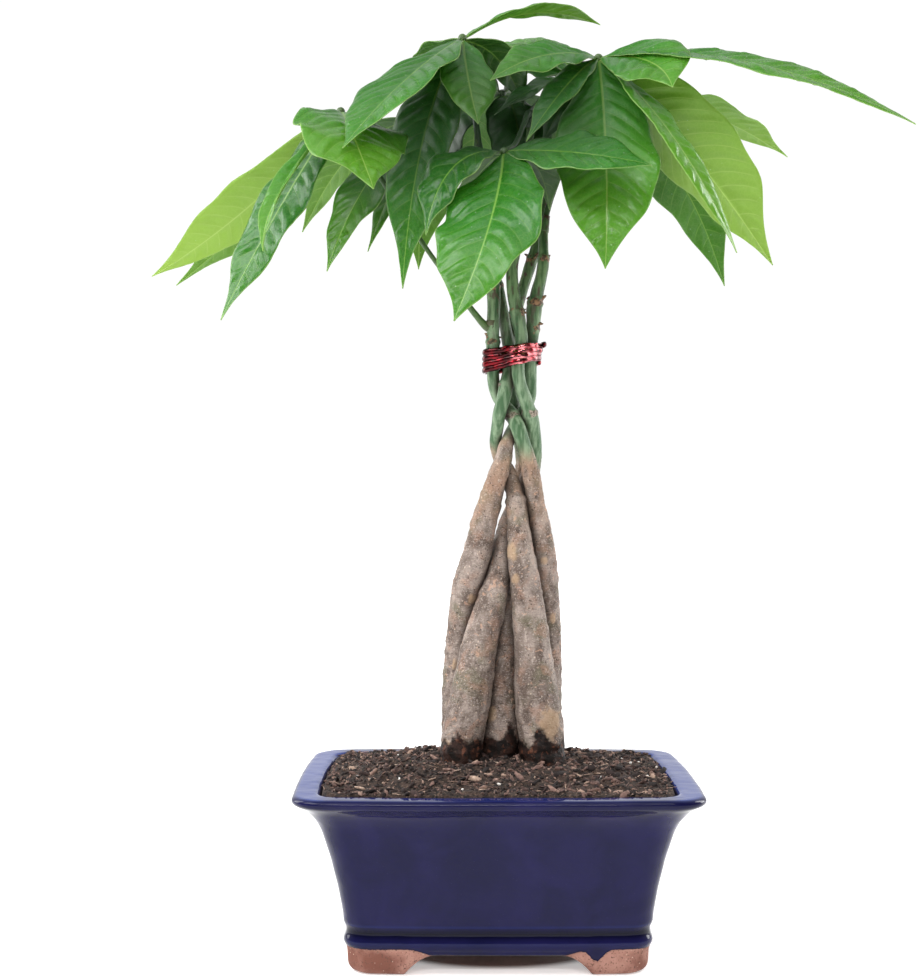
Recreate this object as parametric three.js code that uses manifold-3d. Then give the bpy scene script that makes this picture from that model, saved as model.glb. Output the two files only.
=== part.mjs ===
// A potted money tree: five young trunks braided together, tied with red foil wire, in a footed glazed pot.
// Millimetres, +Z up. The origin is on the floor under the middle of the pot, and -Y is the front.
import * as THREE from "three";
import Module from "manifold-3d";

const wasm = await Module();
wasm.setup();
const { Manifold, Mesh } = wasm;

// Driving dimensions of the pot
const RIM_HALF = { x: 102, y: 79 };
const RIM_Z = 92.3;
const RIM_WIDTH = 13.5;
const WALL = 7;
const CORNER = 16;
const INNER_CORNER = 13;
const LEAST_CORNER = 6;
const SIDE_BOW = 2.5;
const FLOOR_Z = 19;
const DRAIN_RADIUS = 7;
const DRAIN_X = 34;

// The feet: their top, how far they stand in from the rim's edge, and the low arches cut between them
const FOOT_TOP_Z = 13;
const FOOT_INSET = 26.6;
const FOOT_WALL = 15;
const FOOT_CAVITY_Z = 10.8;
const TOE_IN = 2.2;
const ARCH_Z = 10;
const LONG_ARCH = { halfSpan: 47, slope: 15 };
const SHORT_ARCH = { halfSpan: 27, slope: 12 };

// The plastic mesh over a drain hole
const MESH_SIZE = 22;
const MESH_BARS = 4;
const MESH_BAR_WIDTH = 1.6;
const MESH_THICKNESS = 0.8;

// The space left between pieces that touch
const GAP = 0.3;

// How far the outer wall stands in from the rim's edge at each height, from the lip down to the foot
const OUTER_PROFILE = [
  [RIM_Z, 1.6],
  [90.6, 0],
  [88.2, 0.6],
  [86.6, 3.6],
  [84.4, 6.8],
  [81.6, 9.4],
  [77, 12.6],
  [72.5, 14.6],
  [58, 19],
  [43, 22.3],
  [29, 24.6],
  [24.5, 24.8],
  [23.8, 26.2],
  [18.8, 26.2],
  [18, 24.7],
  [14.6, 25],
  [FOOT_TOP_Z, FOOT_INSET],
];

// The same for the inner wall, from the rim down to the pot's floor
const INNER_PROFILE = [
  [RIM_Z, RIM_WIDTH],
  [88, RIM_WIDTH + 0.8],
  [74, 14.4 + WALL],
  [43, 22.3 + WALL],
  [FLOOR_Z, 25.5 + WALL],
];

// Driving dimensions of the soil
const SOIL_EDGE_Z = 90.2;
const SOIL_MOUND = 12;
const SOIL_ROUGHNESS = 1.1;
const SOIL_JITTER = 3;

// Driving dimensions of the braid: its bottom in the soil, and the height of the wire tie
const ROOT_Z = 58;
const TIE_Z = 312.5;
const STEM_SIDES = 8;
const STEM_STEP = 8;

// Each trunk as [height, x, y, radius] up its middle line; they cross in front of and behind each other
const TRUNKS = {
  trunk_back_left: [
    [ROOT_Z, -18, 8, 7],
    [82, -20, 9, 8.6],
    [107, -20.5, 9.5, 8.5],
    [136, -21, 9, 8],
    [163, -19, 7, 7.6],
    [184, -16.5, 2, 7.4],
    [205, -10.4, -4, 7.2],
    [226, -6.5, -6, 6.8],
    [237, -3.2, -7, 6.1],
    [248, 0, -8, 5.3],
    [256, 2.8, -8.5, 4.8],
    [264, 5.4, -7, 4],
    [269, 6.6, -3, 3.4],
    [275, 9, 0.8, 3.3],
    [280, 12, 3.5, 3.3],
    [290, 17.5, 4, 3.3],
    [301, 18.3, 2, 3.3],
    [312, 18.3, 0.5, 3.3],
    [320, 18.6, 1.5, 3.4],
    [330, 19.6, 0.5, 3.7],
    [343, 20.8, 0, 3.9],
    [351, 22.8, 0, 3.4],
    [363, 25, 1, 2.9],
    [381, 25.4, 2, 2.6],
    [388, 27, 2.6, 2.2],
  ],
  trunk_front_left: [
    [ROOT_Z, -15, -9, 8],
    [82, -18, -11, 10.8],
    [107, -18.8, -10.8, 11.1],
    [136, -13.4, -9.4, 10.6],
    [163, -8.1, -7.4, 9.2],
    [184, -2.6, -6, 7.8],
    [205, 3.1, -1, 6.7],
    [216, 5.4, 2, 6.1],
    [226, 8, 4, 5.8],
    [237, 13, 5, 5.5],
    [248, 17.2, 6, 5.2],
    [256, 19.4, 4.5, 4.8],
    [269, 20, 1, 4.2],
    [280, 18.2, -2, 3.9],
    [290, 15.3, -5.4, 3.7],
    [301, 11.6, -8, 3.6],
    [312, 11.6, -7.5, 3.5],
    [320, 13.4, -5.6, 3.4],
    [333, 11.6, -5, 3.5],
    [348, 8.8, -4.6, 3.4],
    [360, 8.4, -4, 3.1],
    [380, 12, -3, 2.8],
    [410, 16, -1, 2.5],
    [442, 19, 1, 2.1],
  ],
  trunk_front_right: [
    [ROOT_Z, 19, -8, 8.4],
    [82, 23.6, -10, 11],
    [107, 24.6, -11, 11.5],
    [136, 21.9, -9.6, 10.6],
    [163, 19.2, -7.8, 9.2],
    [184, 16.4, -7.6, 8.2],
    [205, 13.2, -9.8, 7.1],
    [216, 12.4, -9, 6.4],
    [226, 11.6, -7.6, 5.6],
    [237, 10.3, -6.8, 4.8],
    [248, 8, -1.5, 4.5],
    [256, 4, 1.5, 4.2],
    [264, 0.4, 0.8, 3.7],
    [270, 0.2, -1.5, 3.5],
    [280, 1.6, -4.8, 3.5],
    [290, 3.9, -5.8, 3.6],
    [298, 5.4, -4.6, 3.5],
    [304, 6.4, -2.6, 3.4],
    [312, 7.4, 0, 3.4],
    [320, 6.3, 1, 3.3],
    [340, 3.2, 3.4, 3.1],
    [370, -3, 11, 2.7],
    [404, -10, 19, 2.2],
  ],
  trunk_back_right: [
    [ROOT_Z, 21, 8, 7.2],
    [82, 25, 9.6, 9],
    [107, 26.2, 10, 8.9],
    [136, 27.2, 9.4, 8.1],
    [163, 27.6, 8, 7.5],
    [184, 27, 5, 7],
    [205, 26, 0, 6.3],
    [216, 24.2, -2, 6],
    [226, 22.4, -3.4, 5.6],
    [237, 20.1, -4.2, 5.1],
    [248, 18.8, -6, 4.9],
    [256, 17, -6.6, 4.7],
    [269, 13.2, -7.6, 4],
    [277, 10.8, -7, 3.8],
    [284, 7.6, -0.6, 3.5],
    [288, 4.4, 2, 3.4],
    [292, 1, 1.6, 3.4],
    [297, -0.9, 0, 3.4],
    [304, -1.6, -1.8, 3.4],
    [312, -1.8, -2.5, 3.4],
    [321, -1.8, -3, 3.4],
    [333, -1.6, -3.4, 3.5],
    [345, -1.4, -3.4, 3.4],
    [366, -3, -3, 3],
    [390, -6, -3, 2.6],
    [428, -10, -6, 2.1],
  ],
  trunk_middle: [
    [ROOT_Z, 1, 0, 6.4],
    [82, 0.4, -1, 8.2],
    [107, 0.6, 0, 8.4],
    [136, 2, 2.5, 8],
    [163, 3.8, 6.5, 7.3],
    [184, 5.8, 9.4, 6.7],
    [205, 8.2, 12.6, 6],
    [216, 9.6, 14, 5.6],
    [226, 10.6, 15, 5.2],
    [237, 12.1, 15.6, 4.9],
    [248, 14.2, 15.6, 4.6],
    [256, 15.2, 13.4, 4.4],
    [269, 13.6, 10.6, 4],
    [280, 11, 10.8, 3.8],
    [290, 9.4, 9.6, 3.7],
    [304, 7.3, 7, 3.6],
    [312, 6.9, 7.6, 3.5],
    [322, 7.4, 9, 3.4],
    [345, 13, 14, 3.1],
    [375, 22, 19, 2.8],
    [408, 30, 23, 2.3],
  ],
};

// Leaves: each has a stalk from a trunk, a hub, and leaflets that spread from the hub like fingers.
// A leaflet's midrib runs from the hub through mid to tip. Its roll and fold are in degrees.
const LEAVES = {
  leaf_front: {
    trunk: "trunk_front_left",
    height: 438,
    hub: [3, -45, 413],
    leaflets: [
      { mid: [-5, -84, 369], tip: [-22, -98, 322], width: 56, roll: 2 },
      { mid: [38, -64, 408], tip: [74, -74, 400], width: 38, roll: 34 },
      { mid: [-23, -60, 401], tip: [-36, -62, 368], width: 34, roll: -25 },
      { mid: [20, -24, 411], tip: [28, -8, 390], width: 26, roll: 10 },
    ],
  },
  leaf_top_left: {
    trunk: "trunk_back_right",
    height: 424,
    hub: [-18, -10, 480],
    leaflets: [
      { mid: [-48, -46, 447], tip: [-76, -76, 408], width: 50, roll: 0, fold: 20 },
      { mid: [-15, -36, 451], tip: [-10, -48, 426], width: 29, roll: 0 },
      { mid: [20, 18, 502], tip: [59, 42, 502], width: 26, roll: -3 },
      { mid: [-38, -26, 423], tip: [-49, -20, 347], width: 38, roll: -45 },
      { mid: [-28, 30, 479], tip: [-48, 60, 459], width: 36, roll: 0 },
    ],
  },
  leaf_left: {
    trunk: "trunk_back_right",
    height: 330,
    hub: [-82, -8, 442],
    leaflets: [
      { mid: [-73, -54, 420], tip: [-61, -78, 388], width: 58, roll: -6, fold: 6 },
      { mid: [-134, 26, 399], tip: [-193, 52, 363], width: 34, roll: 30 },
      { mid: [-112, -22, 389], tip: [-141, -36, 329], width: 34, roll: -30 },
      { mid: [-109, -44, 394], tip: [-117, -56, 361], width: 18, roll: 0 },
      { mid: [-128, 66, 409], tip: [-185, 84, 362], width: 38, roll: 0 },
    ],
  },
  leaf_right: {
    trunk: "trunk_back_left",
    height: 384,
    hub: [54, -5, 471],
    leaflets: [
      { mid: [77, -34, 461], tip: [86, -58, 442], width: 40, roll: 35, fold: 14 },
      { mid: [123, -52, 456], tip: [197, -92, 416], width: 34, roll: 0 },
      { mid: [100, -14, 421], tip: [147, 0, 362], width: 54, roll: -53, fold: 34 },
      { mid: [87, -48, 420], tip: [118, -58, 360], width: 24, roll: 6 },
      { mid: [55, -38, 410], tip: [54, -44, 354], width: 53, roll: 0 },
      { mid: [24, -30, 465], tip: [-4, -44, 449], width: 30, roll: -35 },
    ],
  },
  leaf_back_right: {
    trunk: "trunk_middle",
    height: 402,
    hub: [48, 22, 465],
    leaflets: [
      { mid: [98, 34, 421], tip: [128, 40, 356], width: 40, roll: -40 },
      { mid: [117, 60, 459], tip: [172, 84, 437], width: 38, roll: 0 },
      { mid: [62, 80, 463], tip: [76, 104, 421], width: 42, roll: 0 },
      { mid: [26, 8, 460], tip: [-1, -4, 441], width: 26, roll: -15 },
      { mid: [37, 3, 450], tip: [24, -10, 424], width: 22, roll: -30 },
      { mid: [23, 48, 491], tip: [-7, 66, 494], width: 36, roll: -20 },
    ],
  },
  leaf_back_left: {
    trunk: "trunk_front_right",
    height: 398,
    hub: [-40, 42, 450],
    leaflets: [
      { mid: [-71, 34, 411], tip: [-92, 24, 362], width: 36, roll: -30 },
      { mid: [-53, 44, 421], tip: [-71, 46, 376], width: 26, roll: -45 },
      { mid: [-80, 76, 440], tip: [-112, 90, 394], width: 42, roll: 0 },
      { mid: [-42, 86, 432], tip: [-44, 104, 374], width: 46, roll: 0 },
    ],
  },
  leaf_back: {
    trunk: "trunk_front_right",
    height: 376,
    hub: [4, 36, 462],
    leaflets: [
      { mid: [-8, 74, 462], tip: [-14, 102, 420], width: 40, roll: 0 },
      { mid: [22, 70, 450], tip: [26, 96, 404], width: 38, roll: 0 },
      { mid: [-22, 12, 440], tip: [-30, 4, 398], width: 40, roll: 0 },
      { mid: [12, 14, 436], tip: [10, 6, 392], width: 36, roll: 0 },
    ],
  },
};

// A leaf's stalk: its knee stands out from the bark and above its start, and its belly sags
const STALK_RADIUS = 1.3;
const KNEE_OUT = 4;
const KNEE_RISE = 3;
const BELLY_SAG = 5;
const HUB_RADIUS = 2.6;

// A leaflet's blade: its parts along and to each side of the midrib, and its waved edge and curled sides
const BLADE_THICKNESS = 0.8;
const BLADE_STATIONS = 7;
const BLADE_COLUMNS = 2;
const WAVE = 0.06;
const CURL = 0.14;

// The red foil wire: its radius, its turns, and how far apart they lie at the left and at the right
const WIRE_RADIUS = 1;
const WIRE_TURNS = 4;
const WIRE_CLEARANCE = 1.8 * GAP;
const TIE_MIDDLE_X = 8.3;
const TIE_TILT = 2.2;
const TIE_PITCH = { left: 3.1, right: 2.15 };
const FOLDED_END = [
  [0.6, 2.6, 0.6],
  [2.4, 3, 1.2],
  [3.8, 0.6, 1.4],
  [3, -2.4, 1.2],
];

const UP = new THREE.Vector3(0, 0, 1);
const vec = (x, y, z) => new THREE.Vector3(x, y, z);
const lerp = THREE.MathUtils.lerp;

// A repeatable stream of numbers from 0 to 1
function randomStream(seed) {
  let state = seed;
  return () => {
    state = (state * 1664525 + 1013904223) % 4294967296;
    return state / 4294967296;
  };
}

// A closed indexed mesh from its points and triangles
function meshOf(points, triangles) {
  const geometry = new THREE.BufferGeometry();
  const xyz = points.flatMap((p) => [p.x, p.y, p.z]);
  geometry.setAttribute("position", new THREE.Float32BufferAttribute(xyz, 3));
  geometry.setIndex(triangles.flat());
  return geometry;
}

function solidOf(geometry) {
  const vertProperties = new Float32Array(geometry.attributes.position.array);
  const triVerts = new Uint32Array(geometry.index.array);
  return new Manifold(new Mesh({ numProp: 3, vertProperties, triVerts }));
}

function geometryOf(solid) {
  const mesh = solid.getMesh();
  const geometry = new THREE.BufferGeometry();
  geometry.setAttribute("position", new THREE.BufferAttribute(mesh.vertProperties, 3));
  geometry.setIndex(new THREE.BufferAttribute(mesh.triVerts, 1));
  return geometry;
}

// A skin over rings of equal length, listed from the bottom up and anticlockwise from above.
// The ends are capped with fans, or the last ring joins the first.
function loft(rings, joined = false) {
  const sides = rings[0].length;
  const points = rings.flat();
  const triangles = [];
  const spans = joined ? rings.length : rings.length - 1;
  for (let i = 0; i < spans; i++) {
    const low = i * sides;
    const high = ((i + 1) % rings.length) * sides;
    for (let j = 0; j < sides; j++) {
      const k = (j + 1) % sides;
      triangles.push([low + j, low + k, high + k], [low + j, high + k, high + j]);
    }
  }
  if (!joined) {
    const middle = (ring) => ring.reduce((sum, p) => sum.add(p), vec(0, 0, 0)).divideScalar(sides);
    const bottom = points.push(middle(rings[0])) - 1;
    const top = points.push(middle(rings.at(-1))) - 1;
    const last = (rings.length - 1) * sides;
    for (let j = 0; j < sides; j++) {
      const k = (j + 1) % sides;
      triangles.push([bottom, k, j], [top, last + j, last + k]);
    }
  }
  return meshOf(points, triangles);
}

// Rings across a line of points, turned as little as possible from one to the next
function ringsAlong(line, radii, sides, joined = false) {
  const count = line.length;
  const tangents = line.map((p, i) => {
    const before = joined ? line[(i + count - 1) % count] : line[Math.max(i - 1, 0)];
    const after = joined ? line[(i + 1) % count] : line[Math.min(i + 1, count - 1)];
    return after.clone().sub(before).normalize();
  });
  const start = Math.abs(tangents[0].z) > 0.9 ? vec(1, 0, 0) : UP.clone();
  let side = start.addScaledVector(tangents[0], -start.dot(tangents[0])).normalize();
  return line.map((p, i) => {
    side = side.clone().addScaledVector(tangents[i], -side.dot(tangents[i])).normalize();
    const across = tangents[i].clone().cross(side);
    return Array.from({ length: sides }, (_, j) => {
      const angle = (2 * Math.PI * j) / sides;
      const out = side.clone().multiplyScalar(Math.cos(angle)).addScaledVector(across, Math.sin(angle));
      return p.clone().addScaledVector(out, radii[i]);
    });
  });
}

// A rounded rectangle with slightly bowed sides, anticlockwise from above
function roundedRing(halfX, halfY, corner, z) {
  const arcSteps = 3;
  const sideSteps = 3;
  const ring = [];
  const centres = [
    [halfX - corner, halfY - corner, 0],
    [corner - halfX, halfY - corner, 90],
    [corner - halfX, corner - halfY, 180],
    [halfX - corner, corner - halfY, 270],
  ];
  centres.forEach(([cx, cy, from], i) => {
    for (let s = 0; s <= arcSteps; s++) {
      const angle = THREE.MathUtils.degToRad(from + (90 * s) / arcSteps);
      ring.push(vec(cx + corner * Math.cos(angle), cy + corner * Math.sin(angle), z));
    }
    const [nx, ny, next] = centres[(i + 1) % 4];
    const angle = THREE.MathUtils.degToRad(next);
    const to = vec(nx + corner * Math.cos(angle), ny + corner * Math.sin(angle), z);
    const last = ring.at(-1).clone();
    for (let s = 1; s < sideSteps; s++) ring.push(last.clone().lerp(to, s / sideSteps));
  });
  for (const p of ring) {
    const u = p.x / halfX;
    const v = p.y / halfY;
    p.x += SIDE_BOW * u * (1 - v * v);
    p.y += SIDE_BOW * v * (1 - u * u);
  }
  return ring;
}

// The pot's outline at a height, so far in from the rim's edge, with corners that tighten towards the base
function potRing(inset, z, corner = CORNER) {
  return roundedRing(RIM_HALF.x - inset, RIM_HALF.y - inset, Math.max(corner - inset * 0.2, LEAST_CORNER), z);
}

// How far in the pot's inner wall stands at a height
function innerInset(z) {
  const below = INNER_PROFILE.findIndex(([height]) => z >= height);
  if (below <= 0) return INNER_PROFILE.at(below)[1];
  const [high, upper] = INNER_PROFILE[below - 1];
  const [low, lower] = INNER_PROFILE[below];
  return lerp(lower, upper, (z - low) / (high - low));
}

function plug(rings) {
  return solidOf(loft(rings));
}

// A skirt of four feet: a short wall under the pot with a low arch cut through each side
function feet() {
  const outer = plug([
    potRing(FOOT_INSET + TOE_IN, 0),
    potRing(FOOT_INSET + TOE_IN / 4, 2),
    potRing(FOOT_INSET, 5),
    potRing(FOOT_INSET, FOOT_TOP_Z + 1),
  ]);
  const inside = FOOT_INSET + FOOT_WALL;
  const inner = plug([potRing(inside + 2, -1), potRing(inside, FOOT_CAVITY_Z)]);
  const arch = ({ halfSpan, slope }, reach) => {
    const shape = new THREE.Shape();
    const springing = halfSpan - slope * 0.35;
    shape.moveTo(-halfSpan, -1);
    shape.lineTo(halfSpan, -1);
    shape.quadraticCurveTo(springing, ARCH_Z - 1, halfSpan - slope, ARCH_Z);
    shape.lineTo(slope - halfSpan, ARCH_Z);
    shape.quadraticCurveTo(-springing, ARCH_Z - 1, -halfSpan, -1);
    const options = { depth: 2 * reach, bevelEnabled: false, curveSegments: 4 };
    return new THREE.ExtrudeGeometry(shape, options).translate(0, 0, -reach).rotateX(Math.PI / 2);
  };
  const long = solidOf(merged(arch(LONG_ARCH, RIM_HALF.y)));
  const short = solidOf(merged(arch(SHORT_ARCH, RIM_HALF.x).rotateZ(Math.PI / 2)));
  return outer.subtract(inner).subtract(long).subtract(short);
}

// The same geometry with its shared corners joined
function merged(geometry) {
  const source = geometry.index ? geometry.toNonIndexed() : geometry;
  const position = source.attributes.position;
  const seen = new Map();
  const points = [];
  const triangles = [];
  const corner = (i) => {
    const p = vec(position.getX(i), position.getY(i), position.getZ(i));
    const key = p.toArray().map((value) => Math.round(value * 1e4)).join();
    if (!seen.has(key)) seen.set(key, points.push(p) - 1);
    return seen.get(key);
  };
  for (let i = 0; i < position.count; i += 3) {
    const [a, b, c] = [corner(i), corner(i + 1), corner(i + 2)];
    if (a !== b && b !== c && c !== a) triangles.push([a, b, c]);
  }
  return meshOf(points, triangles);
}

function drainHole(x) {
  const hole = new THREE.CylinderGeometry(DRAIN_RADIUS, DRAIN_RADIUS, 2 * FLOOR_Z, 16);
  return solidOf(merged(hole.rotateX(Math.PI / 2).translate(x, 0, FLOOR_Z)));
}

function pot() {
  const shell = plug(OUTER_PROFILE.map(([z, inset]) => potRing(inset, z)).reverse());
  const hollow = plug([
    ...INNER_PROFILE.map(([z, inset]) => potRing(inset, z, INNER_CORNER)).reverse(),
    potRing(RIM_WIDTH, RIM_Z + 2, INNER_CORNER),
  ]);
  const holes = drainHole(-DRAIN_X).add(drainHole(DRAIN_X));
  return shell.subtract(hollow).add(feet()).subtract(holes);
}

// A square of plastic mesh over each drain hole, which keeps the soil in
function drainMesh() {
  const bars = [];
  for (let i = 0; i < MESH_BARS; i++) {
    const across = lerp(-1, 1, i / (MESH_BARS - 1)) * ((MESH_SIZE - MESH_BAR_WIDTH) / 2);
    const bar = new THREE.BoxGeometry(MESH_SIZE, MESH_BAR_WIDTH, MESH_THICKNESS);
    bars.push(bar.clone().translate(0, across, MESH_THICKNESS / 2));
    bars.push(bar.rotateZ(Math.PI / 2).translate(across, 0, MESH_THICKNESS / 2));
  }
  return bars.map((bar) => solidOf(merged(bar))).reduce((body, bar) => body.add(bar));
}

// The height of the soil's uneven mound: level at the pot's wall and highest round the trunks
function soilHeight(x, y) {
  const u = Math.abs(x) / (RIM_HALF.x - RIM_WIDTH);
  const v = Math.abs(y) / (RIM_HALF.y - RIM_WIDTH);
  const out = Math.min(1, (u ** 4 + v ** 4) ** 0.25);
  const lumps = Math.sin(x * 0.31 + 1) * Math.cos(y * 0.37) + 0.7 * Math.sin(x * 0.13 - y * 0.23 + 2);
  return SOIL_EDGE_Z + SOIL_MOUND * (1 - out ** 2.2) + SOIL_ROUGHNESS * lumps * (1 - out ** 6);
}

// The soil fills the pot to its rim, and each trunk stands in a plain hole in it
function soil(trunkLines) {
  const bottomZ = FLOOR_Z + MESH_THICKNESS + 2 * GAP;
  const wallRing = (z) => potRing(innerInset(z) + GAP, z, INNER_CORNER);
  const rings = [bottomZ, 43, 74, 84, SOIL_EDGE_Z - 1].map(wallRing);
  const edge = rings.at(-1);
  const random = randomStream(7);
  const jitter = (size) => (random() - 0.5) * size;
  for (const share of [0.98, 0.9, 0.79, 0.66, 0.51, 0.35, 0.17]) {
    rings.push(
      edge.map((p) => {
        const x = p.x * share + jitter(SOIL_JITTER * share);
        const y = p.y * share + jitter(SOIL_JITTER * share);
        return vec(x, y, soilHeight(x, y) + jitter(SOIL_ROUGHNESS * 1.6));
      }),
    );
  }
  let body = plug(rings);
  const clearOfSoil = SOIL_EDGE_Z + SOIL_MOUND + 20;
  for (const trunk of trunkLines) {
    const low = trunk.filter(([z]) => z < clearOfSoil);
    const line = low.map(([z, x, y]) => vec(x, y, z));
    line[0].z -= GAP;
    const radii = low.map((level) => level[3] + GAP);
    body = body.subtract(solidOf(loft(ringsAlong(line, radii, STEM_SIDES))));
  }
  return body;
}

// A trunk's [height, x, y, radius] at even steps, read from its table with a smooth curve
function sampled(table) {
  const curve = new THREE.CatmullRomCurve3(table.map(([z, x, y]) => vec(x, y, z)), false, "centripetal");
  const radii = new THREE.CatmullRomCurve3(table.map(([z, , , r]) => vec(r, 0, z)), false, "centripetal");
  const top = table.at(-1)[0];
  const count = Math.round((top - ROOT_Z) / STEM_STEP);
  const steps = 12 * table.length;
  const at = (path, z) => {
    let low = 0;
    while (low < steps - 1 && path[low + 1].z < z) low++;
    const share = (z - path[low].z) / Math.max(path[low + 1].z - path[low].z, 1e-6);
    return path[low].clone().lerp(path[low + 1], THREE.MathUtils.clamp(share, 0, 1));
  };
  const middles = curve.getPoints(steps);
  const widths = radii.getPoints(steps);
  return Array.from({ length: count + 1 }, (_, i) => {
    const z = lerp(ROOT_Z, top, i / count);
    const p = at(middles, z);
    return [z, p.x, p.y, at(widths, z).x];
  });
}

// The nearest point to p on a trunk's middle line, with the radius there
function nearestOn(trunk, p) {
  let best = null;
  for (let i = 1; i < trunk.length; i++) {
    const [z0, x0, y0, r0] = trunk[i - 1];
    const [z1, x1, y1, r1] = trunk[i];
    if (z1 < p.z - 20 || z0 > p.z + 20) continue;
    const from = vec(x0, y0, z0);
    const along = vec(x1, y1, z1).sub(from);
    const share = THREE.MathUtils.clamp(p.clone().sub(from).dot(along) / along.lengthSq(), 0, 1);
    const point = from.addScaledVector(along, share);
    const distance = point.distanceTo(p);
    if (!best || distance < best.distance) best = { point, distance, radius: lerp(r0, r1, share) };
  }
  return best;
}

// Presses the trunks apart, mostly front to back, until none cuts its neighbour
function pressedApart(tables) {
  const rounds = 200;
  const give = { x: 0.15, y: 0.4 };
  const levels = tables.map(sampled);
  for (let round = 0; round < rounds; round++) {
    for (const trunk of levels) {
      const moves = trunk.map(([z, x, y, r]) => {
        const p = vec(x, y, z);
        const move = [0, 0];
        for (const other of levels) {
          const beside = other === trunk ? null : nearestOn(other, p);
          if (!beside) continue;
          const short = r + beside.radius + 2 * GAP - beside.distance;
          if (short <= 0) continue;
          const away = p.clone().sub(beside.point);
          const flat = Math.max(Math.hypot(away.x, away.y), 0.01);
          move[0] += (give.x * short * away.x) / flat;
          move[1] += (give.y * short * away.y) / flat;
        }
        return move;
      });
      trunk.forEach((level, i) => {
        const before = moves[Math.max(i - 1, 0)];
        const after = moves[Math.min(i + 1, moves.length - 1)];
        level[1] += 0.6 * moves[i][0] + 0.2 * (before[0] + after[0]);
        level[2] += 0.6 * moves[i][1] + 0.2 * (before[1] + after[1]);
      });
    }
  }
  return levels;
}

function trunkSolid(levels, extra = 0) {
  const line = levels.map(([z, x, y]) => vec(x, y, z));
  const radii = levels.map((level) => level[3] + extra);
  const tip = line.at(-1).clone().sub(line.at(-2)).setLength(radii.at(-1) * 0.6);
  line.push(line.at(-1).clone().add(tip));
  radii.push(radii.at(-1) * 0.55);
  return solidOf(loft(ringsAlong(line, radii, STEM_SIDES)));
}

// How far a tight loop round the trunks stands from the middle, in a direction, at a height
function loopReach(trunkLines, middle, direction, z, clear) {
  const steps = 48;
  const leastFacing = 0.05;
  let reach = Infinity;
  for (let i = 0; i < steps; i++) {
    const angle = (2 * Math.PI * i) / steps;
    const facing = Math.cos(angle - direction);
    if (facing < leastFacing) continue;
    let support = 0;
    for (const trunk of trunkLines) {
      for (const [height, x, y, r] of trunk) {
        if (Math.abs(height - z) > STEM_STEP) continue;
        const out = (x - middle.x) * Math.cos(angle) + (y - middle.y) * Math.sin(angle) + r + clear;
        support = Math.max(support, out);
      }
    }
    reach = Math.min(reach, support / facing);
  }
  return reach;
}

// The red foil wire: one strand wound tightly round the stems, its turns spread out at the left,
// and its end folded back at the right
function tie(trunkLines) {
  const steps = 18;
  const sides = 5;
  const middle = vec(TIE_MIDDLE_X, 0, TIE_Z);
  const clear = WIRE_RADIUS + WIRE_CLEARANCE;
  const line = Array.from({ length: WIRE_TURNS * steps + 1 }, (_, i) => {
    const angle = (2 * Math.PI * i) / steps;
    const toRight = (1 + Math.cos(angle)) / 2;
    const rank = i / steps - WIRE_TURNS / 2;
    const pitch = lerp(TIE_PITCH.left, TIE_PITCH.right, toRight);
    const z = TIE_Z + lerp(-TIE_TILT, TIE_TILT, toRight) + rank * pitch;
    const reach = loopReach(trunkLines, middle, angle, z, clear);
    return vec(middle.x + reach * Math.cos(angle), middle.y + reach * Math.sin(angle), z);
  });
  const last = line.at(-1);
  for (const offset of FOLDED_END) line.push(last.clone().add(vec(...offset)));
  return solidOf(loft(ringsAlong(line, line.map(() => WIRE_RADIUS), sides)));
}

// Half of a leaflet's width as a share of its widest, from the hub to the drawn-out tip
function bladeOutline(u) {
  const belly = Math.sin(Math.PI * u ** 1.15) ** 0.92;
  const point = 1 - 0.42 * THREE.MathUtils.smoothstep(u, 0.74, 1);
  return Math.max(belly * point, 0.05 * (1 - u) + 0.012);
}

// One leaflet: an arched blade, folded along its midrib, with a gently waved edge
function leaflet(hub, { mid, tip, width, roll, fold = 12 }, index) {
  const end = vec(...tip);
  const base = vec(...mid).sub(hub).setLength(0.7 * HUB_RADIUS).add(hub);
  const chord = end.clone().sub(base);
  const along = chord.clone().normalize();
  const lift = UP.clone().addScaledVector(along, -UP.dot(along)).normalize();
  const bend = vec(...mid).multiplyScalar(2).addScaledVector(base, -0.5).addScaledVector(end, -0.5);
  const midrib = new THREE.QuadraticBezierCurve3(base, bend, end);
  const across = along.clone().cross(lift).applyAxisAngle(along, THREE.MathUtils.degToRad(roll));
  const slope = THREE.MathUtils.degToRad(fold);
  const points = [];
  for (const face of [0.5, -0.5]) {
    for (let i = 0; i <= BLADE_STATIONS; i++) {
      const u = i / BLADE_STATIONS;
      const forward = midrib.getTangent(u);
      const side = across.clone().addScaledVector(forward, -across.dot(forward)).normalize();
      const normal = side.clone().cross(forward).normalize();
      const half = (width / 2) * bladeOutline(u);
      for (let j = -BLADE_COLUMNS; j <= BLADE_COLUMNS; j++) {
        const v = j / BLADE_COLUMNS;
        const wave = WAVE * half * v * v * Math.sin(7 * u * Math.PI + index + 2 * v);
        const rise = half * (Math.sin(slope) * Math.abs(v) - CURL * v * v) + wave + face * BLADE_THICKNESS;
        const out = v * half * Math.cos(slope);
        points.push(midrib.getPoint(u).addScaledVector(side, out).addScaledVector(normal, rise));
      }
    }
  }
  return solidOf(meshOf(points, bladeTriangles()));
}

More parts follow.
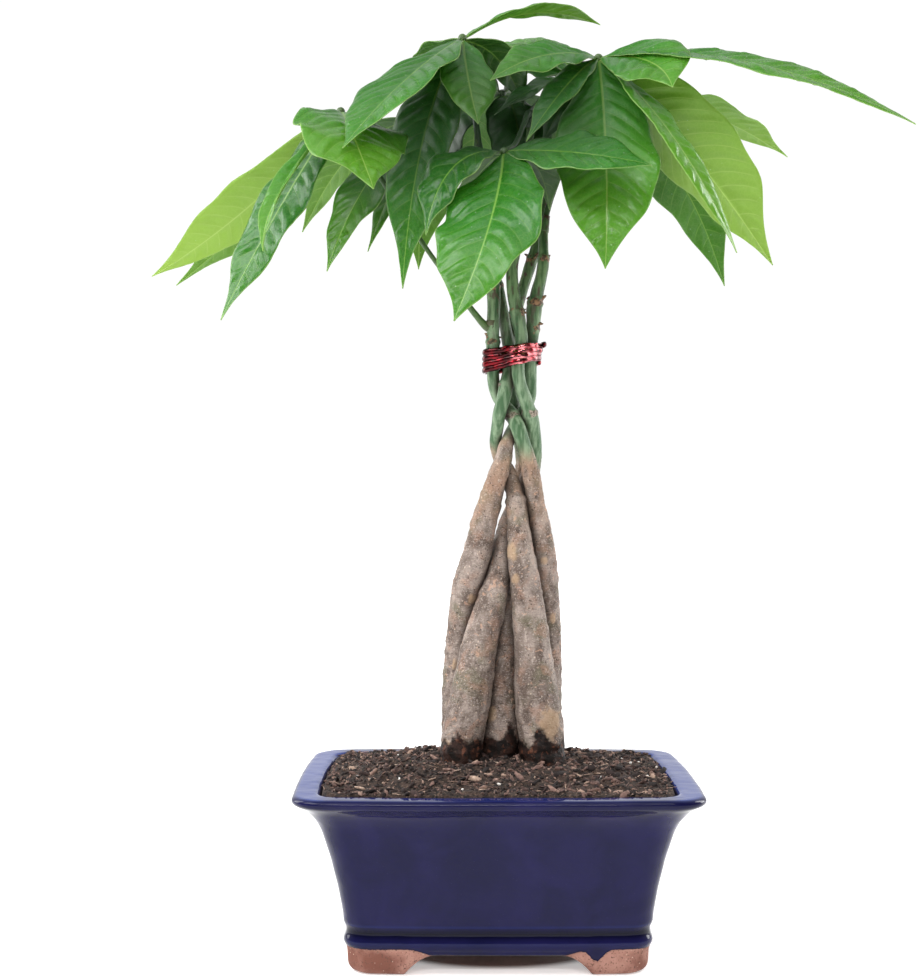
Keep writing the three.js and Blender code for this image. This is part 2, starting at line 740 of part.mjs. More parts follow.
// Both faces of a blade split alike, and the narrow faces round its edge
function bladeTriangles() {
  const row = 2 * BLADE_COLUMNS + 1;
  const under = row * (BLADE_STATIONS + 1);
  const triangles = [];
  for (let i = 0; i < BLADE_STATIONS; i++) {
    for (let j = 0; j < row - 1; j++) {
      const a = i * row + j;
      const [b, c, d] = [a + 1, a + row + 1, a + row];
      const halves = j < BLADE_COLUMNS ? [[a, b, c], [a, c, d]] : [[a, b, d], [b, c, d]];
      for (const [p, q, r] of halves) triangles.push([p, q, r], [under + p, under + r, under + q]);
    }
    const left = i * row;
    const right = left + row - 1;
    triangles.push([left, left + row, under + left + row], [left, under + left + row, under + left]);
    triangles.push([right, under + right, under + right + row], [right, under + right + row, right + row]);
  }
  const last = BLADE_STATIONS * row;
  for (let j = 0; j < row - 1; j++) {
    triangles.push([j, under + j + 1, j + 1], [j, under + j, under + j + 1]);
    const t = last + j;
    triangles.push([t, t + 1, under + t + 1], [t, under + t + 1, under + t]);
  }
  return triangles;
}

// A leaf's stalk bends out of its trunk, just clear of the bark, and rises to the hub
function stalk(levels, height, hub) {
  const level = levels.reduce((best, l) => (Math.abs(l[0] - height) < Math.abs(best[0] - height) ? l : best));
  const [z, x, y, r] = level;
  const start = vec(x, y, z);
  const outward = vec(hub.x - x, hub.y - y, 0).normalize();
  const knee = start.clone().addScaledVector(outward, r + KNEE_OUT).addScaledVector(UP, KNEE_RISE);
  const belly = knee.clone().lerp(hub, 0.5).addScaledVector(UP, -BELLY_SAG);
  const steps = 9;
  const sides = 6;
  const swelling = 1.4;
  const line = new THREE.CatmullRomCurve3([start, knee, belly, hub]).getPoints(steps);
  const radii = line.map((_, i) => STALK_RADIUS * (i < 2 ? swelling : 1));
  return solidOf(loft(ringsAlong(line, radii, sides))).subtract(trunkSolid(levels, GAP));
}

function leaf({ trunk, height, hub, leaflets }, levels) {
  const centre = vec(...hub);
  const knot = new THREE.SphereGeometry(HUB_RADIUS, 8, 6).translate(...hub);
  let body = stalk(levels[trunk], height, centre).add(solidOf(merged(knot)));
  leaflets.forEach((row, index) => {
    body = body.add(leaflet(centre, row, index));
  });
  return body;
}

function material(color, roughness, metalness = 0) {
  return new THREE.MeshStandardMaterial({ color, roughness, metalness });
}

const GLAZE = material(0x1d2150, 0.15);
const SOIL = material(0x3b2a24, 0.95);
const BARK = material(0x8d8272, 0.8);
const FOIL = material(0x9c0f22, 0.25, 0.8);
const GREEN = material(0x2f7d32, 0.4);
const PLASTIC = material(0x20242a, 0.6);

const tree = new THREE.Group();

function place(name, geometry, look) {
  const mesh = new THREE.Mesh(geometry, look);
  mesh.name = name;
  tree.add(mesh);
  return mesh;
}

const lines = pressedApart(Object.values(TRUNKS));
const trunkLevels = Object.fromEntries(Object.keys(TRUNKS).map((name, i) => [name, lines[i]]));

place("pot", geometryOf(pot()), GLAZE);
place("soil", geometryOf(soil(lines)), SOIL);
for (const [side, x] of [["left", -DRAIN_X], ["right", DRAIN_X]]) {
  place(`drain_mesh_${side}`, geometryOf(drainMesh()), PLASTIC).position.set(x, 0, FLOOR_Z + GAP);
}
for (const [name, levels] of Object.entries(trunkLevels)) place(name, geometryOf(trunkSolid(levels)), BARK);
place("wire_tie", geometryOf(tie(lines)), FOIL);
for (const [name, spec] of Object.entries(LEAVES)) place(name, geometryOf(leaf(spec, trunkLevels)), GREEN);

export default tree;
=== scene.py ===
# The looks of a potted money tree: five braided trunks with palmate leaves, a red foil tie and a glazed pot.
# Sizes and places are in millimetres in the frame's own axes, and become metres when a mesh is made.
import math

import bpy
import numpy as np
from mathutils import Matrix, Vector, noise


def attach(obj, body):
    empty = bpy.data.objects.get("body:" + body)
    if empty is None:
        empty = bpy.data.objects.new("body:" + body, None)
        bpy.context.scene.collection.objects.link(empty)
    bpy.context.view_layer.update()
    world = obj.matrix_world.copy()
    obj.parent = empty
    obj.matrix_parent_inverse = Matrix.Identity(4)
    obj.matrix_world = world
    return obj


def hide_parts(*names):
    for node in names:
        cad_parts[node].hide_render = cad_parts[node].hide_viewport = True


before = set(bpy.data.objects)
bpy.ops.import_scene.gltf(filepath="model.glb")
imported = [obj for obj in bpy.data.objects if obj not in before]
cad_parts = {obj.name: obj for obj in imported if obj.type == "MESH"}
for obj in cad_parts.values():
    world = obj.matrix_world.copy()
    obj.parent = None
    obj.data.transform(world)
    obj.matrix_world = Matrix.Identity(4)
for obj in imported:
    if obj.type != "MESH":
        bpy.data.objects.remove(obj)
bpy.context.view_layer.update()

MM = 0.001
UP = np.array([0.0, 0.0, 1.0])

# The camera stands level in front of the pot. Its focal length is in pixels of the 978 pixel tall picture.
CAMERA = (-18.7, -850, 243)
FOCAL_PIXELS = 1599
PICTURE_HEIGHT = 978
SENSOR = 36

# Soft lamps: place, the point they face, size and power in watts
LAMPS = {
    "key_light": ((-120, -600, 1400), (0, 0, 300), (1000, 800), 6.2),
    "front_light": ((-120, -1130, 850), (0, 0, 330), (450, 400), 2.8),
    "left_light": ((-800, -360, 1010), (0, -60, 330), (800, 560), 12),
    "front_strip": ((-60, -1000, 760), (0, -70, 90), (1000, 45), 5.5),
    "left_edge_light": ((-1050, 450, 650), (0, 0, 260), (500, 900), 8),
    "right_edge_light": ((1050, 500, 600), (0, 0, 260), (500, 900), 12),
}
# The surround's brightness rises with the view's Y direction: from, to, dimmest and brightest
WORLD_LIGHT = (-0.5, 0.6, 0.1, 1.03)
FLOOR_RADIUS_M = 6

# The pot, as in the solid
RIM_HALF = (102, 79)
RIM_Z = 92.3
RIM_WIDTH = 13.5
WALL = 7
CORNER = 16
INNER_CORNER = 13
LEAST_CORNER = 6
CORNER_SHRINK = 0.2
MOST_INSET = 70
SIDE_BOW = 2.5
FLOOR_Z = 19
FOOT_TOP_Z = 13
FOOT_INSET = 26.6
FOOT_WALL = 15
FOOT_CAVITY_Z = 10.8
TOE_IN = 2.2
ARCH_Z = 10
ARCH_ROUNDNESS = 1.8
LONG_ARCH = (47, 15)
SHORT_ARCH = (27, 12)
DRAIN_RADIUS = 7
DRAIN_X = 34
DRAIN_SIDES = 48

# How finely the pot is made: steps round a corner, along the long and short sides, and up the section
ARC_STEPS = 12
SIDE_STEPS = (60, 44)
POT_STEP = 1.4

# Gentle waves in the glazed ware
WALL_WAVE = 0.35
RIM_WAVE = 0.25
MEAN_HALF = 90

# The glaze ends in a ragged edge above the feet, with one drip, and stops a little below the rim inside
GLAZE_EDGE_Z = 13.6
DRIP = {"x": 48.8, "front": (45, 52), "reach": 6, "width": 4.5}
STEPS_OVER_RIM = 12
GLAZED_INSIDE_Z = 70
UNGLAZED = -40
# Where the rim's flat top is painted paler, partly as thin glaze and partly as painted reflection: distances
# in from its edge, least height, and places along X
RIM_FLAT = {"insets": (1.2, 3.4), "z": 90.5, "short_side": (82, 92)}
# Bands painted paler, above 0, partly thin glaze and partly painted highlight, and bands of painted shade,
# below 0, in the groove and under the lip: height, reach and share
GLAZE_BANDS = [(25, 0.7, 0.3), (17, 1.6, 0.12), (21.3, 2.4, -1), (86.4, 2.3, -0.95)]

# The outer wall's height and its distance in from the rim's edge, from the foot up to the lip
OUTER_PROFILE = [
    (FOOT_TOP_Z, FOOT_INSET),
    (14.6, 25),
    (18, 24.7),
    (18.8, 26.2),
    (23.8, 26.2),
    (24.5, 24.8),
    (29, 24.6),
    (43, 22.3),
    (58, 19),
    (72.5, 14.6),
    (77, 12.6),
    (81.6, 9.4),
    (84.4, 6.8),
    (86.6, 3.6),
    (88.2, 0.6),
    (90.6, 0),
    (RIM_Z, 1.6),
]
# The inner wall likewise, from the rim down to the floor
INNER_PROFILE = [
    (RIM_Z, RIM_WIDTH),
    (88, RIM_WIDTH + 0.8),
    (74, 14.4 + WALL),
    (43, 22.3 + WALL),
    (FLOOR_Z, 25.5 + WALL),
]

# The soil in the pot's opening
OPENING_HALF = (RIM_HALF[0] - RIM_WIDTH, RIM_HALF[1] - RIM_WIDTH)
SOIL_BOTTOM_Z = FLOOR_Z + 1.4
SOIL_EDGE_Z = 90.2
SOIL_MIDDLE_Z = 102
SOIL_MOUND = 12
SOIL_ROUGHNESS = 1.1
SOIL_CLEARANCE = 0.3
SOIL_BANK = 2.4
SOIL_RINGS = 66
# Crumbs in the soil's surface: height, size and seed
SOIL_CRUMBS = [(1.5, 6, 2), (0.8, 2.4, 4)]

# Loose bits on the soil: how many, the ranges of length, width and thickness, the tilt, the range of tone,
# and the sides and rings of each
CHIP_KINDS = {
    "crumbs": (2900, [(1.0, 3.0), (0.8, 2.4), (0.6, 1.5)], 0.6, (0.0, 0.82), (5, 3)),
    "chips": (420, [(3.5, 7.5), (1.6, 4.2), (0.8, 1.9)], 0.35, (0.0, 0.87), (7, 5)),
    "fibres": (330, [(4, 12), (0.4, 0.8), (0.35, 0.6)], 0.3, (0.35, 0.92), (4, 5)),
    "white_grains": (26, [(1.2, 2.0), (1.1, 1.8), (1.0, 1.6)], 0.5, (1.0, 1.0), (7, 5)),
}
# The colors of the tones between the darkest and white
CHIP_TONES = {
    0.3: (0.018, 0.009, 0.008),
    0.5: (0.06, 0.032, 0.027),
    0.7: (0.19, 0.11, 0.088),
    0.88: (0.42, 0.29, 0.22),
    0.95: (0.58, 0.44, 0.34),
}

# Trunks: the sides of a ring of the solid, then the finer rings' step, sides and distance inside the solid
RING_SIDES = 8
TRUNK_STEP = 0.95
TRUNK_SIDES = 56
TRUNK_CLEARANCE = 0.1
WET_EDGE_Z = (110, 118)
# How wide the shade painted in the gaps between the trunks is, up to a height and above it
GAP_SHADE = {"top_z": 250, "reach": 5.6, "reach_above": 4.4}

# The trunks: the height where bark gives way to green skin; brown rings where young leaves once stood, with
# height and how far they stand out; swellings, with height, reach, extra radius and shift along X; and tan
# scars on the front of the bark, with x, z, half width and half height
TRUNKS = {
    "trunk_back_left": {
        "green_z": 272,
        "rings": [(328, 0.5), (342, 0.7), (366, 0.6)],
        "swellings": [(192, 18, 0.9, 0.2)],
        "scars": [(-13, 185, 2.2, 3), (-22, 150, 1.6, 3)],
    },
    "trunk_front_left": {
        "green_z": 257,
        "rings": [(214, 0.7), (283, 0.8), (337, 0.6), (372, 0.5)],
        "swellings": [],
        "scars": [(-26, 109, 3.5, 4), (-4, 212, 1.6, 2.5)],
    },
    "trunk_front_right": {
        "green_z": 262,
        "rings": [(237, 0.9), (298, 0.6), (352, 0.5)],
        "swellings": [(130, 60, 0.9, -0.9)],
        "scars": [(27.4, 121, 6, 9), (8, 210, 2.6, 5), (10, 196, 2, 3)],
    },
    "trunk_back_right": {
        "green_z": 260,
        "rings": [(282, 0.7), (321, 0.7), (350, 0.5), (386, 0.4)],
        "swellings": [],
        "scars": [(30, 174, 1.6, 3.5), (25, 205, 2.4, 2)],
    },
    "trunk_middle": {
        "green_z": 262,
        "rings": [(240, 0.6), (336, 0.5), (368, 0.5)],
        "swellings": [(135, 60, 1.2, 1.3), (107, 14, 1.5, 0.8)],
        "scars": [(-2.5, 124.6, 2.6, 4.5)],
    },
}
# The stub of an old leaf stalk: its radius from root to end, its sides, and its share of green, ring and wet
STUB_TAPER = [1.4, 1.1, 0.9, 0.7, 0.6, 0.4, 0.15]
STUB_SIDES = 9
STUB_SURFACE = (1.0, 0.9, 0.0)

# The tie, one wire wound round the stems, and the steps of its folded end
TIE_Z = 312.5
WIRE_RADIUS = 1
WIRE_TURNS = 4
WIRE_CLEARANCE = 0.54
WIRE_SIDES = 16
WIRE_FLATTENED = (0.85, 0.85, 1.5)
TURN_STEPS = 18
LOOP_SIDES = 48
TIE_REACH = 8
TIE_MIDDLE_X = 8.3
TIE_TILT = 2.2
TIE_PITCH = {"left": 3.1, "right": 2.15}
FOLDED_END = [(0.6, 2.6, 0.6), (2.4, 3, 1.2), (3.8, 0.6, 1.4), (3, -2.4, 1.2)]

# Leaves on the trunks and hubs of the solid. A leaflet is its midrib's middle and tip, its width, its roll
# and fold in degrees, and how young and yellow it is; below 0 this paints shade on it instead.
LEAVES = {
    "leaf_front": {
        "trunk": "trunk_front_left",
        "height": 438,
        "hub": (3, -45, 413),
        "leaflets": [
            ((-5, -84, 369), (-22, -98, 322), 56, 2, 12, 0.08),
            ((38, -64, 408), (74, -74, 400), 44, 34, 12, -0.1),
            ((-23, -60, 401), (-36, -62, 368), 34, -25, 12, -0.3),
            ((20, -24, 411), (28, -8, 390), 26, 10, 12, 0.0),
            ((-9, -41, 404), (-24, -36, 382), 26, 0, 12, -0.3),
        ],
    },
    "leaf_top_left": {
        "trunk": "trunk_back_right",
        "height": 424,
        "hub": (-18, -10, 480),
        "leaflets": [
            ((-48, -46, 447), (-76, -76, 408), 54, 0, 12, 0.0),
            ((-15, -36, 451), (-10, -48, 426), 29, 0, 12, 0.25),
            ((20, 18, 502), (59, 42, 502), 26, -3, 12, 0.3),
            ((-38, -26, 423), (-49, -20, 347), 38, -45, 12, -0.02),
            ((-28, 30, 479), (-48, 60, 459), 36, 0, 12, 0.2),
            ((2, 10, 474), (16, 22, 452), 30, 0, 12, -0.3),
        ],
    },
    "leaf_left": {
        "trunk": "trunk_back_right",
        "height": 330,
        "hub": (-82, -8, 442),
        "leaflets": [
            ((-73, -54, 420), (-61, -78, 388), 58, -6, 6, 0.35),
            ((-134, 26, 399), (-193, 52, 363), 34, 30, 12, 0.9),
            ((-112, -22, 389), (-141, -36, 329), 34, -30, 12, 0.0),
            ((-109, -44, 394), (-117, -56, 361), 14, 0, 40, 0.3),
            ((-128, 66, 409), (-185, 84, 362), 38, 0, 12, 0.2),
        ],
    },
    "leaf_right": {
        "trunk": "trunk_back_left",
        "height": 384,
        "hub": (54, -5, 471),
        "leaflets": [
            ((77, -34, 461), (86, -58, 442), 40, 35, 14, 0.2),
            ((123, -52, 456), (197, -92, 416), 34, 20, 12, 0.25),
            ((100, -14, 421), (147, 0, 362), 54, -53, 34, 0.7),
            ((87, -48, 420), (118, -58, 360), 24, 6, 12, 0.5),
            ((55, -38, 410), (54, -44, 354), 53, 0, 12, 0.3),
            ((24, -30, 465), (-4, -44, 449), 30, -35, 12, 0.1),
            ((32, 8, 455), (8, 14, 430), 36, -10, 12, -0.3),
            ((35, -30, 449), (14, -50, 417), 20, -20, 20, -0.2),
        ],
    },
    "leaf_back_right": {
        "trunk": "trunk_middle",
        "height": 402,
        "hub": (48, 22, 465),
        "leaflets": [
            ((98, 34, 421), (128, 40, 356), 40, -40, 12, -0.1),
            ((117, 60, 459), (172, 84, 437), 38, 0, 12, 0.5),
            ((62, 80, 463), (76, 104, 421), 42, 0, 12, 0.2),
            ((26, 8, 460), (-1, -4, 441), 26, -15, 12, 0.0),
            ((37, 3, 450), (24, -10, 424), 22, -30, 12, 0.0),
            ((23, 48, 491), (-7, 66, 494), 36, -20, 12, 0.2),
            ((22, 34, 474), (-6, 40, 472), 34, -25, 12, -0.3),
        ],
    },
    "leaf_back_left": {
        "trunk": "trunk_front_right",
        "height": 398,
        "hub": (-40, 42, 450),
        "leaflets": [
            ((-71, 34, 411), (-92, 24, 362), 36, -30, 12, 0.2),
            ((-53, 44, 421), (-71, 46, 376), 26, -45, 12, 0.1),
            ((-80, 76, 440), (-112, 90, 394), 42, 0, 12, 0.2),
            ((-42, 86, 432), (-44, 104, 374), 46, 0, 12, 0.1),
        ],
    },
    "leaf_back": {
        "trunk": "trunk_front_right",
        "height": 376,
        "hub": (4, 36, 462),
        "leaflets": [
            ((-8, 74, 462), (-14, 102, 420), 40, 0, 12, 0.0),
            ((22, 70, 450), (26, 96, 404), 38, 0, 12, 0.1),
            ((-22, 12, 440), (-30, 4, 398), 40, 0, 12, 0.0),
            ((12, 14, 436), (10, 6, 392), 36, 0, 12, 0.0),
            ((-10, 34, 474), (-28, 30, 468), 30, -30, 12, -0.3),
            ((20, 44, 478), (34, 52, 488), 30, 0, 12, -0.1),
        ],
    },
}

# The inside of the crown, where shade is painted on the leaves and stalks: its middle and half sizes
CROWN_MIDDLE = (0, 22, 426)
CROWN_HALF = (94, 90, 54)

# Stalks, and the hubs that carry the leaflets
STALK_RADIUS = 1.3
STALK_STEPS = 70
STALK_SIDES = 14
HUB_SIDES = 18
# The foot's radius and its share of brown, on a stalk at a trunk's tip and on one at its side
TIP_STALK = (2.0, 0.4)
SIDE_STALK = (3.0, 0.9)
KNEE_OUT = 4
KNEE_RISE = 3
BELLY_SAG = 5
HUB_RADIUS = 2.6
TIP_LENGTH = 14

# Blades
BLADE_THICKNESS = 0.8
EDGE_THICKNESS = 0.3
STATION_STEP = 1.1
COLUMN_STEP = 1.7
LEAST_COLUMNS = 7
WAVE = 0.06
EDGE_WAVE = 0.05
CURL = 0.14
MIDRIB_GROOVE = 0.22
MIDRIB_RIDGE = 0.95
VEIN_SPACING = 8.5
QUILTING = 1.0

# The parts of a leaf, as its material tells them apart
UPPER_SIDE = 0.0
UNDER_SIDE = 1.0
STEM = 2.0


# Small tools for shapes

def unit(vectors):
    return vectors / np.linalg.norm(vectors, axis=-1, keepdims=True)


def smoothstep(value, low, high):
    share = np.clip((value - low) / (high - low), 0, 1)
    return share * share * (3 - 2 * share)


def hump(value, middle, reach):
    """1 at the middle, falling to about a third at the reach."""
    return np.exp(-(((value - middle) / reach) ** 2))


def noise_at(points, size, seed=0.0):
    """Smooth noise from about -1 to 1 at each point, with lumps of that size in millimetres."""
    shift = Vector((seed, 1.7 * seed, -seed))
    values = [noise.noise(Vector(p) / size + shift) for p in points.reshape(-1, 3)]
    return np.array(values).reshape(points.shape[:-1])


def along_curve(values, spots):
    """Rows of values read at fractional row numbers, on a smooth Catmull-Rom curve."""
    values = np.asarray(values, float)
    padded = np.vstack([2 * values[0] - values[1], values, 2 * values[-1] - values[-2]])
    low = np.clip(np.floor(spots).astype(int), 0, len(values) - 2)
    t = (spots - low)[:, None]
    a, b, c, d = (padded[low + k] for k in range(4))
    return 0.5 * (2 * b + (c - a) * t + (2 * a - 5 * b + 4 * c - d) * t**2 + (3 * b - a - 3 * c + d) * t**3)


def line_length(points):
    return np.linalg.norm(np.diff(points, axis=0), axis=1).sum()


def circle(sides):
    return np.linspace(0, 2 * math.pi, sides, endpoint=False)


def loft(rings):
    """Points and faces of a skin over rings listed upwards, the middles of its ends being the last points."""
    count, sides, _ = rings.shape
    low = np.arange(count - 1)[:, None] * sides
    here = np.arange(sides)[None, :]
    after = (here + 1) % sides
    quads = np.stack([low + here, low + after, low + sides + after, low + sides + here], -1)
    faces = quads.reshape(-1, 4).tolist()
    points = np.vstack([rings.reshape(-1, 3), rings[0].mean(0), rings[-1].mean(0)])
    bottom = count * sides
    last = bottom - sides
    for j in range(sides):
        k = (j + 1) % sides
        faces += [[bottom, k, j], [bottom + 1, last + j, last + k]]
    return points, faces


def rings_along(line, radii, sides):
    """Rings across a line of points, turned as little as possible from one to the next."""
    tangents = unit(np.gradient(line, axis=0))
    side = np.array([1.0, 0, 0]) if abs(tangents[0][2]) > 0.9 else UP
    angles = circle(sides)
    rings = []
    for p, tangent, radius in zip(line, tangents, radii):
        side = unit(side - tangent * side.dot(tangent))
        across = np.cross(tangent, side)
        out = np.cos(angles)[:, None] * side + np.sin(angles)[:, None] * across
        rings.append(p + radius * out)
    return np.array(rings)


class Pile:
    """Meshes gathered into one piece, with values for each point that the materials read."""

    def __init__(self):
        self.points = []
        self.faces = []
        self.values = {}
        self.count = 0

    def add(self, points, faces, **values):
        points = np.asarray(points).reshape(-1, 3)
        self.points.append(points)
        self.faces += [[self.count + i for i in face] for face in faces]
        self.count += len(points)
        for label, value in values.items():
            value = np.broadcast_to(value, (len(points), *np.shape(value)[1:]))
            self.values.setdefault(label, []).append(value)

    def piece(self, name, look, replaced=()):
        mesh = bpy.data.meshes.new(name)
        mesh.from_pydata((np.concatenate(self.points) * MM).tolist(), [], self.faces)
        for label, parts in self.values.items():
            value = np.concatenate(parts).astype(np.float32)
            kind, field = ("FLOAT", "value") if value.ndim == 1 else ("FLOAT_VECTOR", "vector")
            mesh.attributes.new(label, kind, "POINT").data.foreach_set(field, value.ravel())
        mesh.shade_smooth()
        mesh.materials.append(look.material)
        made = bpy.data.objects.new(name, mesh)
        bpy.context.scene.collection.objects.link(made)
        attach(made, "root")
        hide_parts(*replaced)
        return made


class Nodes:
    """The nodes of a material or of the world."""

    def __init__(self, owner):
        owner.use_nodes = True
        self.tree = owner.node_tree

    def node(self, kind, inputs=None, **settings):
        made = self.tree.nodes.new(kind)
        for label, value in settings.items():
            setattr(made, label, value)
        for label, value in (inputs or {}).items():
            self.feed(made.inputs[label], value)
        return made

    def feed(self, socket, value):
        if isinstance(value, bpy.types.NodeSocket):
            self.tree.links.new(value, socket)
        else:
            socket.default_value = value

    def split(self, vector):
        return self.node("ShaderNodeSeparateXYZ", {"Vector": vector}).outputs

    def math(self, operation, a, b=0.0):
        return self.node("ShaderNodeMath", {0: a, 1: b}, operation=operation).outputs[0]

    def plus(self, a, b):
        return self.math("ADD", a, b)

    def minus(self, a, b):
        return self.math("SUBTRACT", a, b)

    def times(self, a, b):
        return self.math("MULTIPLY", a, b)

    def most(self, a, b):
        return self.math("MAXIMUM", a, b)

    def without(self, share):
        return self.minus(1.0, share)

    def step(self, value, low, high, bottom=0.0, top=1.0):
        """A smooth step from bottom to top while the value goes from low to high."""
        inputs = {"Value": value, "From Min": low, "From Max": high, "To Min": bottom, "To Max": top}
        return self.node("ShaderNodeMapRange", inputs, interpolation_type="SMOOTHSTEP").outputs["Result"]


class Look(Nodes):
    """A material. Its coordinates are in metres, and sizes and depths of its patterns in millimetres."""

    def __init__(self, name, **settings):
        self.material = bpy.data.materials.new(name)
        super().__init__(self.material)
        self.shader = self.tree.nodes["Principled BSDF"]
        self.output = self.tree.nodes["Material Output"]
        self.coordinates = self.node("ShaderNodeTexCoord").outputs["Object"]
        self.shade(**settings)

    def shade(self, **values):
        for label, value in values.items():
            self.feed(self.shader.inputs[label.replace("_", " ")], value)

    def value(self, label):
        return self.node("ShaderNodeAttribute", attribute_name=label).outputs["Fac"]

    def values(self, label):
        return self.split(self.node("ShaderNodeAttribute", attribute_name=label).outputs["Vector"])

    def mix(self, share, a, b):
        made = self.node("ShaderNodeMix", data_type="RGBA")
        for socket, value in ((made.inputs["Factor"], share), (made.inputs[6], a), (made.inputs[7], b)):
            self.feed(socket, (*value, 1) if isinstance(value, tuple) else value)
        return made.outputs[2]

    def paint(self, base, share, strength, color):
        """A color laid over part of another, at less than full strength."""
        return self.mix(self.times(share, strength), base, color)

    def stretched(self, stretch):
        inputs = {"Vector": self.coordinates, "Scale": stretch}
        return self.node("ShaderNodeMapping", inputs).outputs["Vector"]

    def distance(self, stretch=(1, 1, 1)):
        """Metres from the frame's origin."""
        stretched = {0: self.stretched(stretch)}
        return self.node("ShaderNodeVectorMath", stretched, operation="LENGTH").outputs["Value"]

    def noise(self, size, detail=2.0, stretch=(1, 1, 1), distortion=0.0):
        inputs = {"Vector": self.stretched(stretch), "Scale": 1 / (size * MM)}
        inputs.update({"Detail": detail, "Distortion": distortion})
        return self.node("ShaderNodeTexNoise", inputs).outputs["Fac"]

    def patches(self, size, low, high, detail, stretch=(1, 1, 1), distortion=0.0):
        """Patches that fade in where the noise goes from low to high."""
        return self.step(self.noise(size, detail, stretch, distortion), low, high)

    def sway(self, size, detail, height):
        """Noise around 0 with this much between its ends."""
        return self.times(self.minus(self.noise(size, detail), 0.5), height)

    def cells(self, size, feature="F1", stretch=(1, 1, 1)):
        inputs = {"Vector": self.stretched(stretch), "Scale": 1 / (size * MM)}
        return self.node("ShaderNodeTexVoronoi", inputs, feature=feature).outputs["Distance"]

    def bump(self, height, depth, under=None):
        inputs = {"Height": height, "Distance": depth * MM}
        if under is not None:
            inputs["Normal"] = under
        return self.node("ShaderNodeBump", inputs).outputs["Normal"]


# The pot

def rounded_ring(half_x, half_y, corner, z):
    """A rounded rectangle with slightly bowed sides, as in the solid but with more points."""
    arcs = []
    for i, (x, y) in enumerate([(1, 1), (-1, 1), (-1, -1), (1, -1)]):
        angles = np.radians(90 * i + np.linspace(0, 90, ARC_STEPS + 1))
        middle = np.array([x * (half_x - corner), y * (half_y - corner)])
        arcs.append(middle + corner * np.column_stack([np.cos(angles), np.sin(angles)]))
    ring = []
    for i, arc in enumerate(arcs):
        after = arcs[(i + 1) % 4]
        ring += [arc, np.linspace(arc[-1], after[0], SIDE_STEPS[i % 2] + 1)[1:-1]]
    ring = np.concatenate(ring)
    u, v = (ring / (half_x, half_y)).T
    bowed = ring + SIDE_BOW * np.column_stack([u * (1 - v * v), v * (1 - u * u)])
    return np.column_stack([bowed, np.full(len(ring), float(z))])


def pot_ring(inset, z, corner=CORNER):
    corner = max(corner - inset * CORNER_SHRINK, LEAST_CORNER)
    return rounded_ring(RIM_HALF[0] - inset, RIM_HALF[1] - inset, corner, z)


def inner_inset(z):
    heights, insets = zip(*reversed(INNER_PROFILE))
    return float(np.interp(z, heights, insets))


def softened(path, spacing, rounds):
    """A path of rows with its corners rounded off, in even steps."""
    path = np.array(path, float)
    travelled = np.concatenate([[0], np.cumsum(np.linalg.norm(np.diff(path, axis=0), axis=1))])
    steps = np.linspace(0, travelled[-1], round(travelled[-1] / spacing) + 1)
    fine = np.column_stack([np.interp(steps, travelled, column) for column in path.T])
    for _ in range(rounds):
        fine[1:-1] = (fine[:-2] + 2 * fine[1:-1] + fine[2:]) / 4
    return fine


def arch_height(ring):
    """How high the low arches between the feet stand over each point."""
    heights = []
    for place, (half_span, slope) in ((np.abs(ring[:, 0]), LONG_ARCH), (np.abs(ring[:, 1]), SHORT_ARCH)):
        share = np.clip((half_span - place) / slope, 0, 1)
        heights.append(ARCH_Z * (1 - (1 - share) ** ARCH_ROUNDNESS))
    return np.maximum(*heights)


def pot_path():
    """Inset, height and corner radius along the pot's section, from under its middle round to its floor."""
    inside = FOOT_INSET + FOOT_WALL
    toe = FOOT_INSET + TOE_IN
    under = [(MOST_INSET, FOOT_CAVITY_Z), (inside, FOOT_CAVITY_Z), (inside + 1, 1), (inside, 0)]
    foot = [(toe + 1, 0), (toe, 0.8), (FOOT_INSET + 0.5, 3)]
    outer = [(inset, z) for z, inset in OUTER_PROFILE]
    inner = [(inset, z) for z, inset in INNER_PROFILE] + [(MOST_INSET, FLOOR_Z)]
    return [(*row, CORNER) for row in under + foot + outer] + [(*row, INNER_CORNER) for row in inner]


def pot_rings(path):
    """Rings round the pot along its section, cut by the arches between the feet and gently waved."""
    rings = []
    sole_passed = False
    for inset, z, corner in path:
        ring = pot_ring(inset, z, corner)
        sole_passed = sole_passed or inset < FOOT_INSET + FOOT_WALL - 2 and z < 1
        top = FOOT_TOP_Z if sole_passed else FOOT_CAVITY_Z
        if z < top:
            arch = np.minimum(arch_height(ring), top - 0.2)
            ring[:, 2] = arch + ring[:, 2] * (top - arch) / top
        rings.append(ring)
    rings = np.array(rings)
    wave = WALL_WAVE * noise_at(rings, 28, 3) * smoothstep(rings[..., 2], 20, 40)
    rings[..., :2] *= 1 + wave[..., None] / MEAN_HALF
    rings[..., 2] += RIM_WAVE * noise_at(rings, 35, 8) * smoothstep(rings[..., 2], 80, 90)
    return rings


def glaze_reach(path, rings, points):
    """How far each point lies above the glaze's lower edge, and far below 0 where the pot is bare."""
    x, y, z = points.T
    drip = DRIP["reach"] * smoothstep(-y, *DRIP["front"]) * hump(x, DRIP["x"], DRIP["width"])
    over_arch = (GLAZE_EDGE_Z - ARCH_Z - 0.5) * smoothstep(LONG_ARCH[0] - np.abs(x), 2, 16)
    reach = z - GLAZE_EDGE_Z + drip + over_arch - 0.5 * noise_at(points, 9, 5)
    steps = np.repeat(np.arange(len(path)), rings.shape[1])
    underneath = steps < np.argmin(path[:, 1])
    inside = (steps > np.argmax(path[:, 1]) + STEPS_OVER_RIM) & (rings[..., 2].ravel() < GLAZED_INSIDE_Z)
    reach[np.append(underneath | inside, [True, True])] = UNGLAZED
    return reach


